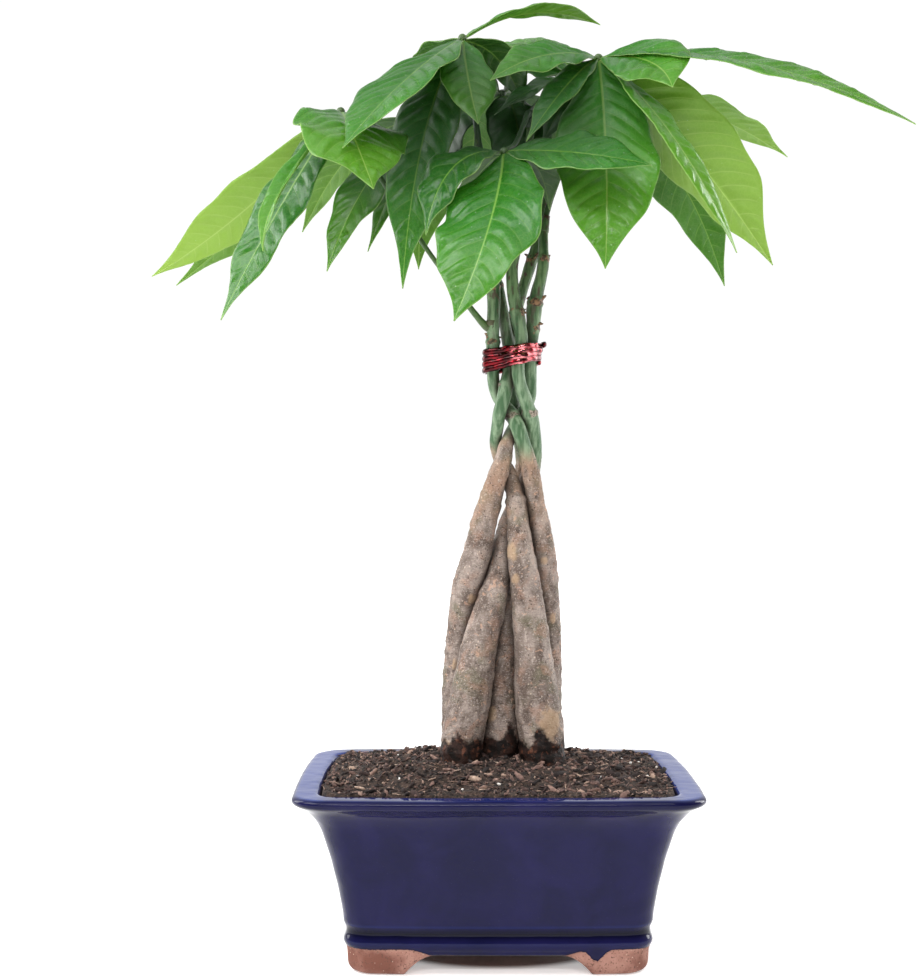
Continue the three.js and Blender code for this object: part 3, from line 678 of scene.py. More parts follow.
def glaze_thinness(path, rings, points):
    """Paler glaze above 0, partly thin and partly painted reflection, and painted shade below 0."""
    insets, heights = path[:, 0], path[:, 1]
    thin = smoothstep(insets, *RIM_FLAT["insets"]) * (heights > RIM_FLAT["z"])
    for z, reach, share in GLAZE_BANDS:
        thin += share * hump(heights, z, reach)
    thin = np.append(np.repeat(thin, rings.shape[1]), [0, 0])
    on_short_side = smoothstep(np.abs(points[:, 0]), *RIM_FLAT["short_side"])
    return np.where(points[:, 2] > 80, thin * (0.3 + 0.7 * on_short_side), thin)


def cut_drain_holes(pot):
    """Cuts the two round drain holes through the pot's floor."""
    for x in (-DRAIN_X, DRAIN_X):
        size = {"radius": DRAIN_RADIUS * MM, "depth": 4 * FLOOR_Z * MM}
        bpy.ops.mesh.primitive_cylinder_add(vertices=DRAIN_SIDES, location=(x * MM, 0, 0), **size)
        cutter = bpy.context.object
        cut = pot.modifiers.new("drain_hole", "BOOLEAN")
        cut.operation = "DIFFERENCE"
        cut.solver = "EXACT"
        cut.object = cutter
        bpy.context.view_layer.update()
        shaped = bpy.data.meshes.new_from_object(pot.evaluated_get(bpy.context.evaluated_depsgraph_get()))
        pot.modifiers.remove(cut)
        pot.data = shaped
        bpy.data.objects.remove(cutter)


def make_pot():
    path = softened(pot_path(), POT_STEP, 2)
    rings = pot_rings(path)
    points, faces = loft(rings)
    glaze = glaze_reach(path, rings, points)
    thin = glaze_thinness(path, rings, points)
    pile = Pile()
    pile.add(points, faces, glaze=glaze, thin=thin)
    pot = pile.piece("pot_glazed", glaze_look(), ["pot"])
    cut_drain_holes(pot)


def glaze_look():
    """Cobalt glaze with a ragged lower edge over bare red clay."""
    look = Look("cobalt_glaze", Specular_IOR_Level=0.15)
    glaze = look.value("glaze")
    thin = look.value("thin")
    edge = look.plus(glaze, look.sway(1.4, 3, 0.9))
    glazed = look.step(edge, -0.12, 0.12)
    cloud = look.patches(26, 0.3, 0.72, 3, distortion=0.6)
    blue = look.mix(cloud, (0.0055, 0.0055, 0.033), (0.009, 0.008, 0.049))
    blue = look.paint(blue, look.step(look.cells(3.2), 0.1, 0.04), 0.3, (0.03, 0.028, 0.09))
    # Paler blue on the rim top and the groove's edges: partly thin glaze, partly painted reflection and
    # highlight
    blue = look.mix(look.most(thin, 0.0), blue, (0.010, 0.032, 0.19))
    # Painted shade in the base groove and under the lip
    blue = look.paint(blue, thin, -1.0, (0.001, 0.001, 0.008))
    blue = look.paint(blue, look.step(edge, 1.2, 0.1), 0.7, (0.004, 0.004, 0.014))
    clay = look.mix(look.patches(16, 0.35, 0.65, 4), (0.175, 0.07, 0.05), (0.385, 0.205, 0.16))
    clay = look.mix(look.patches(0.9, 0.56, 0.68, 4), clay, (0.12, 0.06, 0.045))
    clay = look.mix(look.step(look.cells(2.6), 0.16, 0.06), clay, (0.5, 0.36, 0.28))
    # Painted shade: the bare clay under and inside the pot is darker
    clay = look.paint(clay, look.step(glaze, -25.0, -35.0), 0.8, (0.05, 0.028, 0.024))
    waves = look.bump(look.noise(11, 1), 0.35)
    pits = look.bump(look.noise(1.1, 3), 0.25, under=waves)
    normal = look.node("ShaderNodeMix", {"Factor": glazed, 4: pits, 5: waves}, data_type="VECTOR").outputs[1]
    gloss = look.plus(look.times(look.noise(5, 2), 0.05), 0.03)
    rough = look.plus(look.times(look.without(glazed), 0.75), gloss)
    look.shade(Base_Color=look.mix(glazed, clay, blue), Roughness=rough, Normal=normal)
    return look


# The soil

def outness(x, y, power):
    """0 at the middle of the pot's opening and 1 at its rounded edge."""
    u = np.abs(x) / OPENING_HALF[0]
    v = np.abs(y) / OPENING_HALF[1]
    return (u**power + v**power) ** (1 / power)


def soil_height(x, y):
    """The soil's mound and its low lumps, as in the solid."""
    out = np.minimum(1, outness(x, y, 4))
    lumps = np.sin(x * 0.31 + 1) * np.cos(y * 0.37) + 0.7 * np.sin(x * 0.13 - y * 0.23 + 2)
    return SOIL_EDGE_Z + SOIL_MOUND * (1 - out**2.2) + SOIL_ROUGHNESS * lumps * (1 - out**6)


def soil_top(points):
    """Points laid on the soil, with crumbs of two sizes and a low bank along the pot's edge."""
    laid = points.copy()
    laid[..., 2] = soil_height(points[..., 0], points[..., 1])
    flat = laid * (1, 1, 0)
    for height, size, seed in SOIL_CRUMBS:
        laid[..., 2] += height * noise_at(flat, size, seed)
    laid[..., 2] += SOIL_BANK * smoothstep(outness(laid[..., 0], laid[..., 1], 8), 0.88, 0.96)
    return laid


def make_soil():
    levels = (SOIL_BOTTOM_Z, 43, 74, 84, SOIL_EDGE_Z - 1)
    walls = [pot_ring(inner_inset(z) + SOIL_CLEARANCE, z, INNER_CORNER) for z in levels]
    shares = np.linspace(0.985, 0.015, SOIL_RINGS)
    top = soil_top(np.array([walls[-1] * (share, share, 1) for share in shares]))
    pile = Pile()
    pile.add(*loft(np.concatenate([walls, top])))
    pile.piece("soil_bed", soil_look(), ["soil"])


def soil_look():
    look = Look("potting_mix", Roughness=0.95)
    color = look.mix(look.patches(3, 0.35, 0.65, 5), (0.007, 0.004, 0.003), (0.045, 0.026, 0.019))
    color = look.mix(look.patches(1.1, 0.55, 0.7, 4), color, (0.14, 0.09, 0.065))
    look.shade(Base_Color=color, Normal=look.bump(look.noise(1.2, 5), 1.0))
    return look


def chip(rng, long, wide, thick, sides, stations):
    """A splinter of bark: a short irregular loft."""
    rings = []
    for along in np.linspace(-0.5, 0.5, stations):
        angles = circle(sides) + rng.uniform(-0.25, 0.25, sides)
        reach = (1 - 1.8 * along**2) * rng.uniform(0.6, 1.2, sides)
        x = reach * np.cos(angles) * wide / 2
        y = reach * np.sin(angles) * thick / 2
        rings.append(np.column_stack([x, y, np.full(sides, along * long)]))
    points, faces = loft(np.array(rings))
    points[:, 1] += rng.uniform(-0.25, 0.25) * wide * (points[:, 2] / long) ** 2
    return points, faces


def turned(rng, tilt):
    """A random turn that leaves a chip nearly flat on the ground."""
    spin = rng.uniform(0, 2 * math.pi)
    lean = rng.normal(0, tilt)
    roll = rng.uniform(0, 2 * math.pi)
    along = np.array([math.cos(spin) * math.cos(lean), math.sin(spin) * math.cos(lean), math.sin(lean)])
    side = unit(np.cross(along, UP))
    up = np.cross(side, along)
    x_axis = math.cos(roll) * side + math.sin(roll) * up
    y_axis = math.cos(roll) * up - math.sin(roll) * side
    return np.array([x_axis, y_axis, along])


def scattered(rng, count, lines):
    """Places on the soil, clear of the rim and outside the trunks."""
    places = []
    feet = [line[np.argmin(np.abs(line[:, 2] - SOIL_MIDDLE_Z))] for line in lines.values()]
    while len(places) < count:
        x = rng.uniform(-OPENING_HALF[0], OPENING_HALF[0])
        y = rng.uniform(-OPENING_HALF[1], OPENING_HALF[1])
        clear = all(math.hypot(x - foot[0], y - foot[1]) > foot[3] - 1 for foot in feet)
        if outness(x, y, 8) < 1 and clear:
            places.append((x, y, 0))
    return soil_top(np.array(places))


def make_chips(lines):
    rng = np.random.default_rng(11)
    pile = Pile()
    for count, ranges, tilt, tones, mesh in CHIP_KINDS.values():
        for place in scattered(rng, count, lines):
            sizes = [rng.uniform(*limits) for limits in ranges]
            points, faces = chip(rng, *sizes, *mesh)
            lifted = place + (0, 0, sizes[2] / 4)
            pile.add(points @ turned(rng, tilt) + lifted, faces, tone=rng.uniform(*tones))
    pile.piece("soil_chips", chip_look())


def chip_look():
    look = Look("bark_chips", Roughness=0.85)
    tone = look.plus(look.value("tone"), look.sway(1.5, 3, 0.35))
    ramp = look.node("ShaderNodeValToRGB", {"Fac": tone})
    stops = ramp.color_ramp.elements
    stops[0].color = (0.012, 0.008, 0.007, 1)
    stops[1].color = (0.85, 0.83, 0.8, 1)
    for position, color in CHIP_TONES.items():
        stops.new(position).color = (*color, 1)
    fibres = look.bump(look.noise(0.7, 3, (1, 1, 0.4)), 0.3)
    look.shade(Base_Color=ramp.outputs["Color"], Normal=fibres)
    return look


# The trunks

def trunk_line(name):
    """A trunk's middle line and radius, [x, y, z, radius], read from the rings of its solid."""
    corners = np.array([v.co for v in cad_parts[name].data.vertices]) / MM
    corners = np.unique(corners.round(2), axis=0)
    corners = corners[np.argsort(corners[:, 2])]
    groups = np.split(corners, range(RING_SIDES + 1, len(corners) - RING_SIDES - 1, RING_SIDES))
    line = []
    for group in groups:
        middle = group.mean(0)
        radius = np.sort(np.linalg.norm(group - middle, axis=1))[-RING_SIDES:].mean()
        line.append([*middle, radius])
    return np.array(line)


def at_height(line, z):
    return np.array([np.interp(z, line[:, 2], line[:, k]) for k in range(4)])


def fine_trunk(trunk, rows):
    """The middle line and radii with swellings, rings and a rounded tip."""
    middle = rows[:, :3]
    radii = rows[:, 3] - TRUNK_CLEARANCE
    heights = middle[:, 2]
    for z, reach, more, shift in trunk["swellings"]:
        share = hump(heights, z, reach)
        radii = radii + more * share
        middle = middle + shift * share[:, None] * (1, 0, 0)
    for z, stands_out in trunk["rings"]:
        radii = radii + stands_out * (hump(heights, z, 1.3) + 0.5 * hump(heights, z - 4, 4))
    return middle, radii * (0.75 + 0.25 * smoothstep(heights[-1] - heights, 0, 5))


def bark_relief(green_z, rings, radii, wet, scar, seed):
    """How far lumps, ridges, scabs and crust stand out on the bark, and faint ridges on the green skin."""
    woody = 1 - smoothstep(rings[..., 2], green_z - 12, green_z + 12)
    lumps = 0.06 * radii[:, None] * noise_at(rings * (1, 1, 0.45), 16, seed)
    bark = 0.3 * noise_at(rings, 4.2, seed + 5)
    bark += 0.16 * noise_at(rings * (1, 1, 2.2), 2.4, seed + 9)
    bark += 0.14 * noise_at(rings, 1.5, seed + 13)
    scabs = 0.4 * smoothstep(noise_at(rings, 6, seed + 17), 0.3, 0.45)
    skin = 0.16 * noise_at(rings * (1, 1, 0.3), 3.2, seed + 3)
    crust = wet * (0.9 * noise_at(rings, 4.5, seed + 2) - 0.4)
    return lumps + woody * (bark + scabs) + (1 - woody) * skin + crust + 0.5 * scar


def ring_share(trunk, rings, z, seed):
    """How much each point lies in a brown ring."""
    share = np.zeros(z.shape)
    wobbly_z = z + 2.2 * noise_at(rings, 3, seed + 31)
    for ring_z, _ in trunk["rings"]:
        share = np.maximum(share, hump(wobbly_z, ring_z, 1.9))
    return share * (0.25 + 0.75 * smoothstep(noise_at(rings, 6, seed + 37), -0.3, 0.15))


def scar_share(trunk, middle, rings):
    """How much each point lies in a tan scar on the front of the bark."""
    share = np.zeros(rings.shape[:2])
    for x, z, half_wide, half_tall in trunk["scars"]:
        away = np.hypot((rings[..., 0] - x) / half_wide, (rings[..., 2] - z) / half_tall)
        front = rings[..., 1] < middle[:, None, 1]
        ragged = away + 0.35 * noise_at(rings, 2.5, z)
        share = np.maximum(share, front * (1 - smoothstep(ragged, 0.7, 1.1)))
    return share


def gap_shade_share(name, lines, points):
    """How deep each point lies in the gaps between the trunks, which sets the shade painted there."""
    nearest = np.full(len(points), 99.0)
    for other, line in lines.items():
        if other != name:
            x, y, radius = (np.interp(points[:, 2], line[:, 2], line[:, k]) for k in (0, 1, 3))
            nearest = np.minimum(nearest, np.hypot(points[:, 0] - x, points[:, 1] - y) - radius)
    reach = np.where(points[:, 2] < GAP_SHADE["top_z"], GAP_SHADE["reach"], GAP_SHADE["reach_above"])
    return 1 - smoothstep(nearest / reach, 0.05, 1)


def add_stubs(pile, trunk, rows, seed):
    """Thorn-like stubs of old leaf stalks beside the rings on the upper stems."""
    rng = np.random.default_rng(seed)
    stub_heights = [z for z, _ in trunk["rings"] if z >= TIE_Z]
    for z in stub_heights:
        for facing in (0, math.pi):
            x, y, height, radius = at_height(rows, z + rng.uniform(-1, 3))
            angle = facing + rng.uniform(-0.7, 0.7)
            out = np.array([math.cos(angle), math.sin(angle), 0])
            start = np.array([x, y, height]) + out * (radius - 1)
            long = rng.uniform(2.0, 3.4)
            shares = np.linspace(0, 1, len(STUB_TAPER))[:, None]
            line = start + shares * (out * long + UP * rng.uniform(-0.5, 2))
            radii = rng.uniform(0.9, 1.4) * np.array(STUB_TAPER)
            points, faces = loft(rings_along(line, radii, STUB_SIDES))
            points = points + 0.3 * noise_at(points, 1.4, seed)[:, None]
            surface = np.tile(STUB_SURFACE, (len(points), 1))
            pile.add(points, faces, surface=surface, scar=0.0, crevice=0.0)


def make_trunk(name, lines, look, seed):
    trunk = TRUNKS[name]
    line = lines[name]
    steps = round(line_length(line[:, :3]) / TRUNK_STEP)
    rows = along_curve(line, np.linspace(0, len(line) - 1, steps))
    middle, radii = fine_trunk(trunk, rows)
    rings = rings_along(middle, radii, TRUNK_SIDES)
    out = unit(rings - middle[:, None])
    z = rings[..., 2]
    ragged = 7 * noise_at(rings * (1, 1, 0.45), 7, seed + 21)
    wet = 1 - smoothstep(z + ragged * 1.5, *WET_EDGE_Z)
    scar = scar_share(trunk, middle, rings)
    rings = rings + out * bark_relief(trunk["green_z"], rings, radii, wet, scar, seed)[..., None]
    green = smoothstep(z + ragged, trunk["green_z"] - 7, trunk["green_z"] + 7)
    surface = np.stack([green, ring_share(trunk, rings, z, seed), wet], -1).reshape(-1, 3)
    surface = np.vstack([surface, surface[0], surface[-1]])
    scar = np.append(scar.ravel(), [0, 0])
    points, faces = loft(rings)
    pile = Pile()
    pile.add(points, faces, surface=surface, scar=scar, crevice=gap_shade_share(name, lines, points))
    add_stubs(pile, trunk, rows, seed)
    pile.piece(name + "_bark", look, [name])


def woody_color(look, height, cracks):
    """Old bark: brown and grey patches, wrinkles near the soil, pale frost, dots, scabs, cracks and scars."""
    patches = look.patches(8, 0.34, 0.66, 6, (1, 1, 0.55), 0.5)
    color = look.mix(patches, (0.105, 0.075, 0.06), (0.325, 0.262, 0.225))
    color = look.paint(color, look.patches(1.1, 0.42, 0.64, 5, (1, 1, 0.8)), 0.3, (0.14, 0.105, 0.085))
    color = look.paint(color, look.patches(15, 0.52, 0.68, 4), 0.75, (0.125, 0.11, 0.07))
    color = look.paint(color, look.patches(9, 0.52, 0.66, 5), 0.55, (0.29, 0.17, 0.12))
    color = look.paint(color, look.patches(0.9, 0.53, 0.66, 4, (1, 1, 1.3)), 0.4, (0.50, 0.43, 0.39))
    neck = look.times(look.step(height, 0.205, 0.26), look.patches(7, 0.35, 0.6, 4, (1, 1, 0.4)))
    color = look.paint(color, neck, 0.6, (0.36, 0.225, 0.15))
    wrinkles = look.patches(1.9, 0.57, 0.66, 5, (0.45, 0.45, 2.2), 0.6)
    old = look.step(height, 0.23, 0.15)
    color = look.paint(color, look.times(wrinkles, old), 0.65, (0.09, 0.06, 0.048))
    color = look.paint(color, look.patches(2.2, 0.62, 0.70, 3), 0.45, (0.52, 0.44, 0.38))
    color = look.paint(color, look.patches(4.2, 0.62, 0.67, 6, distortion=1.2), 0.6, (0.47, 0.29, 0.20))
    dots = look.step(look.cells(3.1, stretch=(1, 1, 0.8)), 0.15, 0.09)
    color = look.paint(color, dots, 0.5, (0.62, 0.50, 0.40))
    color = look.paint(color, cracks, 0.8, (0.045, 0.028, 0.022))
    ochre = look.mix(look.noise(2.2, 5), (0.30, 0.17, 0.085), (0.60, 0.43, 0.27))
    return look.paint(color, look.value("scar"), 0.6, ochre)


def skin_color(look, height):
    """Streaked green skin, pale over the braid, then darker and browner on the stems, with shade painted
    higher up.
    """
    streak = look.noise(2.6, 4, (1, 1, 0.14))
    braid = look.mix(look.step(streak, 0.35, 0.68), (0.05, 0.11, 0.048), (0.215, 0.30, 0.187))
    stem = look.mix(look.step(streak, 0.35, 0.65), (0.016, 0.046, 0.013), (0.108, 0.178, 0.073))
    # Painted shade on the stems higher up, under the crown
    stem = look.paint(stem, look.step(height, 0.35, 0.40), 0.75, (0.02, 0.045, 0.012))
    stem = look.mix(look.patches(3, 0.53, 0.66, 5, (1, 1, 0.5)), stem, (0.05, 0.024, 0.018))
    return look.mix(look.step(height, 0.30, 0.36), braid, stem)


def ringed(look, color, height, ring, green):
    """Brown rings over a trunk's color, paler below the tie."""
    mottled = look.patches(1.3, 0.4, 0.62, 4)
    low_ring = look.mix(mottled, (0.085, 0.055, 0.042), (0.36, 0.28, 0.235))
    high_ring = look.mix(mottled, (0.028, 0.011, 0.008), (0.24, 0.115, 0.06))
    ring_color = look.mix(look.step(height, 0.305, 0.315), low_ring, high_ring)
    share = look.step(look.plus(ring, look.times(look.noise(1.6, 4), 0.6)), 0.64, 0.95)
    share = look.times(share, look.plus(look.times(green, 0.7), 0.15))
    return look.mix(share, color, ring_color)


def soaked(look, color, wet):
    """The dark wet foot of a trunk, with a ragged edge and reddish flakes."""
    damp = look.mix(look.patches(4, 0.45, 0.6, 4), (0.006, 0.003, 0.002), (0.03, 0.013, 0.009))
    flakes = look.patches(3.2, 0.57, 0.66, 6, distortion=0.3)
    damp = look.paint(damp, flakes, 0.75, (0.15, 0.055, 0.03))
    ragged = look.plus(wet, look.sway(2.2, 6, 1.5))
    return look.mix(look.step(ragged, 0.12, 0.85), color, damp)


def bark_look():
    look = Look("tree_bark", Specular_IOR_Level=0.22)
    green, ring, wet = look.values("surface")
    height = look.split(look.coordinates)[2]
    specks = look.times(look.step(look.cells(2.3), 0.2, 0.1), look.patches(9, 0.38, 0.52, 3))
    cracks = look.most(look.patches(1.5, 0.65, 0.70, 4, (0.7, 0.7, 1.9), 0.9), specks)
    color = look.mix(green, woody_color(look, height, cracks), skin_color(look, height))
    color = soaked(look, ringed(look, color, height, ring, green), wet)
    # Painted shade: the bark darkens near the neighbouring trunks
    color = look.paint(color, look.value("crevice"), 0.85, (0.028, 0.017, 0.012))
    bare = look.without(green)
    deep = look.bump(look.times(look.noise(2.4, 6, (1, 1, 0.9)), bare), 1.0)
    fine = look.bump(look.minus(look.noise(0.9, 4), look.times(cracks, bare)), 0.5, under=deep)
    rough = look.minus(look.plus(look.times(bare, 0.2), 0.42), look.times(wet, 0.08))
    look.shade(Base_Color=color, Roughness=rough, Normal=fine)
    return look


# The foil tie

def loop_reach(lines, direction, z, clear):
    """How far a tight loop round the trunks stands from its middle in a direction, as in the solid."""
    reach = math.inf
    for angle in circle(LOOP_SIDES):
        facing = math.cos(angle - direction)
        if facing < 0.05:
            continue
        support = 0
        for line in lines.values():
            near = line[np.abs(line[:, 2] - z) <= TIE_REACH]
            out = (near[:, 0] - TIE_MIDDLE_X) * math.cos(angle) + near[:, 1] * math.sin(angle)
            support = max(support, *(out + near[:, 3] + clear))
        reach = min(reach, support / facing)
    return reach


def tie_path(lines):
    """Four turns round the stems, wider apart on the left, and a folded end."""
    path = []
    for i in range(WIRE_TURNS * TURN_STEPS + 1):
        angle = 2 * math.pi * i / TURN_STEPS
        to_right = (1 + math.cos(angle)) / 2
        pitch = TIE_PITCH["left"] + (TIE_PITCH["right"] - TIE_PITCH["left"]) * to_right
        z = TIE_Z + TIE_TILT * (2 * to_right - 1) + (i / TURN_STEPS - WIRE_TURNS / 2) * pitch
        reach = loop_reach(lines, angle, z, WIRE_RADIUS + WIRE_CLEARANCE)
        path.append((TIE_MIDDLE_X + reach * math.cos(angle), reach * math.sin(angle), z))
    end = np.array(path[-1])
    return path + [tuple(end + 0.6 * np.array(offset)) for offset in FOLDED_END]


def make_tie(lines):
    path = tie_path(lines)
    line = along_curve(path, np.linspace(0, len(path) - 1, 10 * len(path)))
    line = line + 0.25 * np.stack([noise_at(line, 4, seed) for seed in (1, 5, 9)], -1)
    radii = WIRE_RADIUS * (1.1 + 0.12 * noise_at(line, 3, 4))
    rings = rings_along(line, radii, WIRE_SIDES)
    crinkle = 0.1 * noise_at(rings * (1, 1, 3), 5, 7) + 0.03 * noise_at(rings, 1.4, 2)
    rings += unit(rings - line[:, None]) * crinkle[..., None]
    rings = line[:, None] + (rings - line[:, None]) * WIRE_FLATTENED
    pile = Pile()
    pile.add(*loft(rings))
    pile.piece("wire_tie_foil", foil_look(), ["wire_tie"])


def foil_look():
    """Dark red foil with painted light: brighter patches, brighter to the right, and a painted pale glint
    near its right end.
    """
    look = Look("red_foil", Metallic=1.0, Coat_Weight=0.3, Coat_Roughness=0.05)
    x = look.split(look.coordinates)[0]
    # Painted light: brighter patches, and brighter towards the right
    painted_lit = look.plus(look.noise(5, 2, (0.7, 0.7, 1.9)), look.times(look.step(x, -0.004, 0.018), 0.16))
    color = look.mix(look.step(painted_lit, 0.44, 0.76), (0.03, 0.0005, 0.0015), (0.17, 0.002, 0.007))
    # Painted glint near the right end
    painted_glint = look.times(look.step(x, 0.006, 0.011), look.step(x, 0.018, 0.014))
    painted_glint = look.times(painted_glint, look.patches(3.4, 0.42, 0.6, 2, (0.7, 0.7, 1.9)))
    color = look.mix(painted_glint, color, (0.72, 0.2, 0.22))
    folds = look.bump(look.noise(3.2, 2, (0.8, 0.8, 2.2)), 0.35)
    grain = look.bump(look.noise(0.6, 2), 0.04, under=folds)
    rough = look.plus(look.times(look.noise(1.5, 2), 0.1), 0.1)
    look.shade(Base_Color=color, Roughness=rough, Normal=grain)
    return look


# The leaves

def blade_outline(u):
    """A blade's width along its length, as a share of its greatest width."""
    belly = np.sin(math.pi * u**0.98).clip(0) ** 0.86
    point = 1 - 0.5 * smoothstep(u, 0.74, 1)
    return np.maximum(belly * point, 0.05 * (1 - u) + 0.012)


def blade_faces(stations, row):
    """Faces of the upper side, the under side and the edge all round."""
    under = row * (stations + 1)
    i = np.arange(stations)[:, None] * row
    j = np.arange(row - 1)[None, :]
    upper = np.stack([i + j, i + j + 1, i + j + row + 1, i + j + row], -1).reshape(-1, 4)
    faces = [*upper.tolist(), *(upper[:, ::-1] + under).tolist()]
    for left in range(0, stations * row, row):
        right = left + row - 1
        faces.append([left, left + row, under + left + row, under + left])
        faces.append([right, under + right, under + right + row, right + row])
    last = stations * row
    for j in range(row - 1):
        faces.append([j, under + j, under + j + 1, j + 1])
        faces.append([last + j, last + j + 1, under + last + j + 1, under + last + j])
    return faces


def crown_shade_share(points):
    """How deep each point lies inside the crown, which sets the shade painted there."""
    away = np.linalg.norm((points - CROWN_MIDDLE) / np.array(CROWN_HALF), axis=1)
    return 1 - smoothstep(away, 0.45, 1.3)


def leaflet_spine(base, mid, tip, roll, u):
    """The midrib's points, and the directions across the blade and out of its upper side at each of them."""
    along = unit(tip - base)
    lift = unit(UP - along * along[2])
    across = np.cross(along, lift)
    turn = math.radians(roll)
    across = across * math.cos(turn) + np.cross(along, across) * math.sin(turn)
    bend = 2 * mid - (base + tip) / 2
    midrib = (1 - u) ** 2 * base + 2 * u * (1 - u) * bend + u**2 * tip
    forward = unit((1 - u) * (bend - base) + u * (tip - bend))
    side = unit(across - forward * (forward @ across)[:, None])
    return midrib, side, np.cross(side, forward)


def quilted(u, v, half, length, phase):
    """Each point's place in the row of veins, and the height of the quilting between them."""
    beside = np.abs(v) * half
    spacing = length / round(length / VEIN_SPACING)
    drift = 0.5 * np.sin(9 * u + phase[2] + 1.5 * np.sign(v)) * np.abs(v)
    vein = (u * length - beside * (0.45 + 0.4 * np.abs(v)) + drift) / spacing
    alternate = vein + 0.5 * (v > 0)
    apart = np.abs(alternate - np.round(alternate))
    puffs = 0.5 + 0.5 * np.sin(2.4 * np.floor(alternate) + phase[3] + 3 * np.abs(v))
    fade = smoothstep(beside, 0.4, 5) * smoothstep(half - beside, 0, 4)
    return vein, QUILTING * fade * (puffs * np.sin(math.pi * apart) - 0.5 * hump(apart * spacing, 0, 0.9))


def waved(u, v, half, slope, index, phase):
    """The height of a blade's fold, curled sides and wavy margin."""
    folded = np.sqrt(v * v + 0.004) - 0.05 * hump(v, 0, 0.1)
    wave = WAVE * half * v * v * np.sin(7 * u * math.pi + index + 2 * v)
    ripple = EDGE_WAVE * half * np.abs(v) ** 3 * np.sin(19 * u + phase[0] + 1.5 * v)
    return half * (math.sin(slope) * folded - CURL * v * v) + wave + ripple


def add_leaflet(pile, hub, row, index, rng):
    mid, tip, width, roll, fold, young = row
    mid, tip = np.array(mid, float), np.array(tip, float)
    slope = math.radians(fold)
    base = hub + unit(mid - hub) * 0.7 * HUB_RADIUS
    stations = round(np.linalg.norm(tip - base) / STATION_STEP)
    columns = max(LEAST_COLUMNS, round(width / 2 / COLUMN_STEP))
    u = np.linspace(0, 1, stations + 1)[:, None]
    v = np.linspace(-1, 1, 2 * columns + 1)[None, :]
    midrib, side, normal = leaflet_spine(base, mid, tip, roll, u)

    phase = rng.uniform(0, 2 * math.pi, 4)
    lobes = 0.045 * np.sin(13 * u + phase[0] + 2.2 * (v > 0))
    lobes = lobes + 0.022 * np.sin(31 * u + phase[1] + 1.3 * (v > 0))
    half = width / 2 * blade_outline(u) * (1 + lobes * (v != 0))
    beside = np.abs(v) * half
    edge = half - beside
    sheet = midrib[:, None] + side[:, None] * (v * half * math.cos(slope))[..., None]
    vein, quilt = quilted(u, v, half, line_length(midrib), phase)
    buckles = 0.4 * noise_at(sheet, 9, index) + 0.22 * noise_at(sheet, 4, index + 4)
    rise = waved(u, v, half, slope, index, phase) + quilt + buckles * smoothstep(beside, 0, 6)
    thick = EDGE_THICKNESS + (BLADE_THICKNESS - EDGE_THICKNESS) * smoothstep(edge, 0, 3)
    groove = MIDRIB_GROOVE * hump(beside, 0, 0.8) * (1 - u)
    ridge = MIDRIB_RIDGE * (1 - 0.75 * u) * hump(beside, 0, 1.1 - 0.6 * u)
    upper = sheet + normal[:, None] * (rise + thick / 2 - groove)[..., None]
    lower = sheet + normal[:, None] * (rise - thick / 2 - ridge)[..., None]

    rib = beside * np.sign(v) / (0.25 + 0.95 * (1 - u))
    blade = np.stack([vein, rib, edge], -1).reshape(-1, 3)
    # Below 0 this value paints shade: each leaflet is darker near its hub and lighter towards its tip
    age_and_painted_shade = young - 0.3 + 0.4 * smoothstep(u, 0.1, 0.85)
    ages_and_painted_shade = np.repeat(age_and_painted_shade, 2 * columns + 1, axis=1).ravel()
    shade = np.full(len(blade), rng.uniform(0, 1))
    tone = [np.column_stack([shade, ages_and_painted_shade, np.full(len(blade), part)]) for part in (UPPER_SIDE, UNDER_SIDE)]
    points = np.concatenate([upper.reshape(-1, 3), lower.reshape(-1, 3)])
    faces = blade_faces(stations, 2 * columns + 1)
    blade = np.concatenate([blade, blade])
    pile.add(points, faces, blade=blade, tone=np.concatenate(tone), inner=crown_shade_share(points))


def add_stalk(pile, line, height, hub):
    """A stalk that leaves its trunk, rises to the hub and swells at both ends."""
    x, y, z, radius = at_height(line, height)
    start = np.array([x, y, z])
    outward = unit((hub - start) * (1, 1, 0))
    ends_trunk = line[-1][2] - height < TIP_LENGTH and hub[2] > z
    if ends_trunk:
        start = line[-2][:3]
        knee = line[-1][:3] + (line[-1][:3] - start) * 0.8
        belly = knee + (hub - knee) * 0.55 + outward * 1.5
        foot_radius, brownness = TIP_STALK
    else:
        knee = start + outward * (radius + KNEE_OUT) + UP * KNEE_RISE
        belly = (knee + hub) / 2 - UP * BELLY_SAG
        foot_radius, brownness = SIDE_STALK
    spots = np.linspace(0, 3, STALK_STEPS)
    path = along_curve([start, knee, belly, hub], spots)
    taper = STALK_RADIUS + (foot_radius - STALK_RADIUS) * (1 - smoothstep(spots, 0, 1.6))
    swelling = 1 + 0.35 * hump(spots, 0, 0.3) + 0.35 * hump(spots, 3, 0.12)
    rings = rings_along(path, taper * swelling, STALK_SIDES)
    rings += 0.12 * noise_at(rings, 3, 6)[..., None]
    brown = (1 - smoothstep(np.repeat(spots, STALK_SIDES), 0.2, 1.1)) * brownness
    add_stem_part(pile, *loft(rings), np.append(brown, [0, 0]))
    levels = np.linspace(-1, 1, 13)
    ball_radii = HUB_RADIUS * 0.85 * np.sqrt(1.02 - levels**2)
    points, faces = loft(rings_along(hub + UP * levels[:, None] * HUB_RADIUS * 0.8, ball_radii, HUB_SIDES))
    add_stem_part(pile, points + 0.35 * noise_at(points, 2, 3)[:, None], faces, np.full(len(points), 0.15))


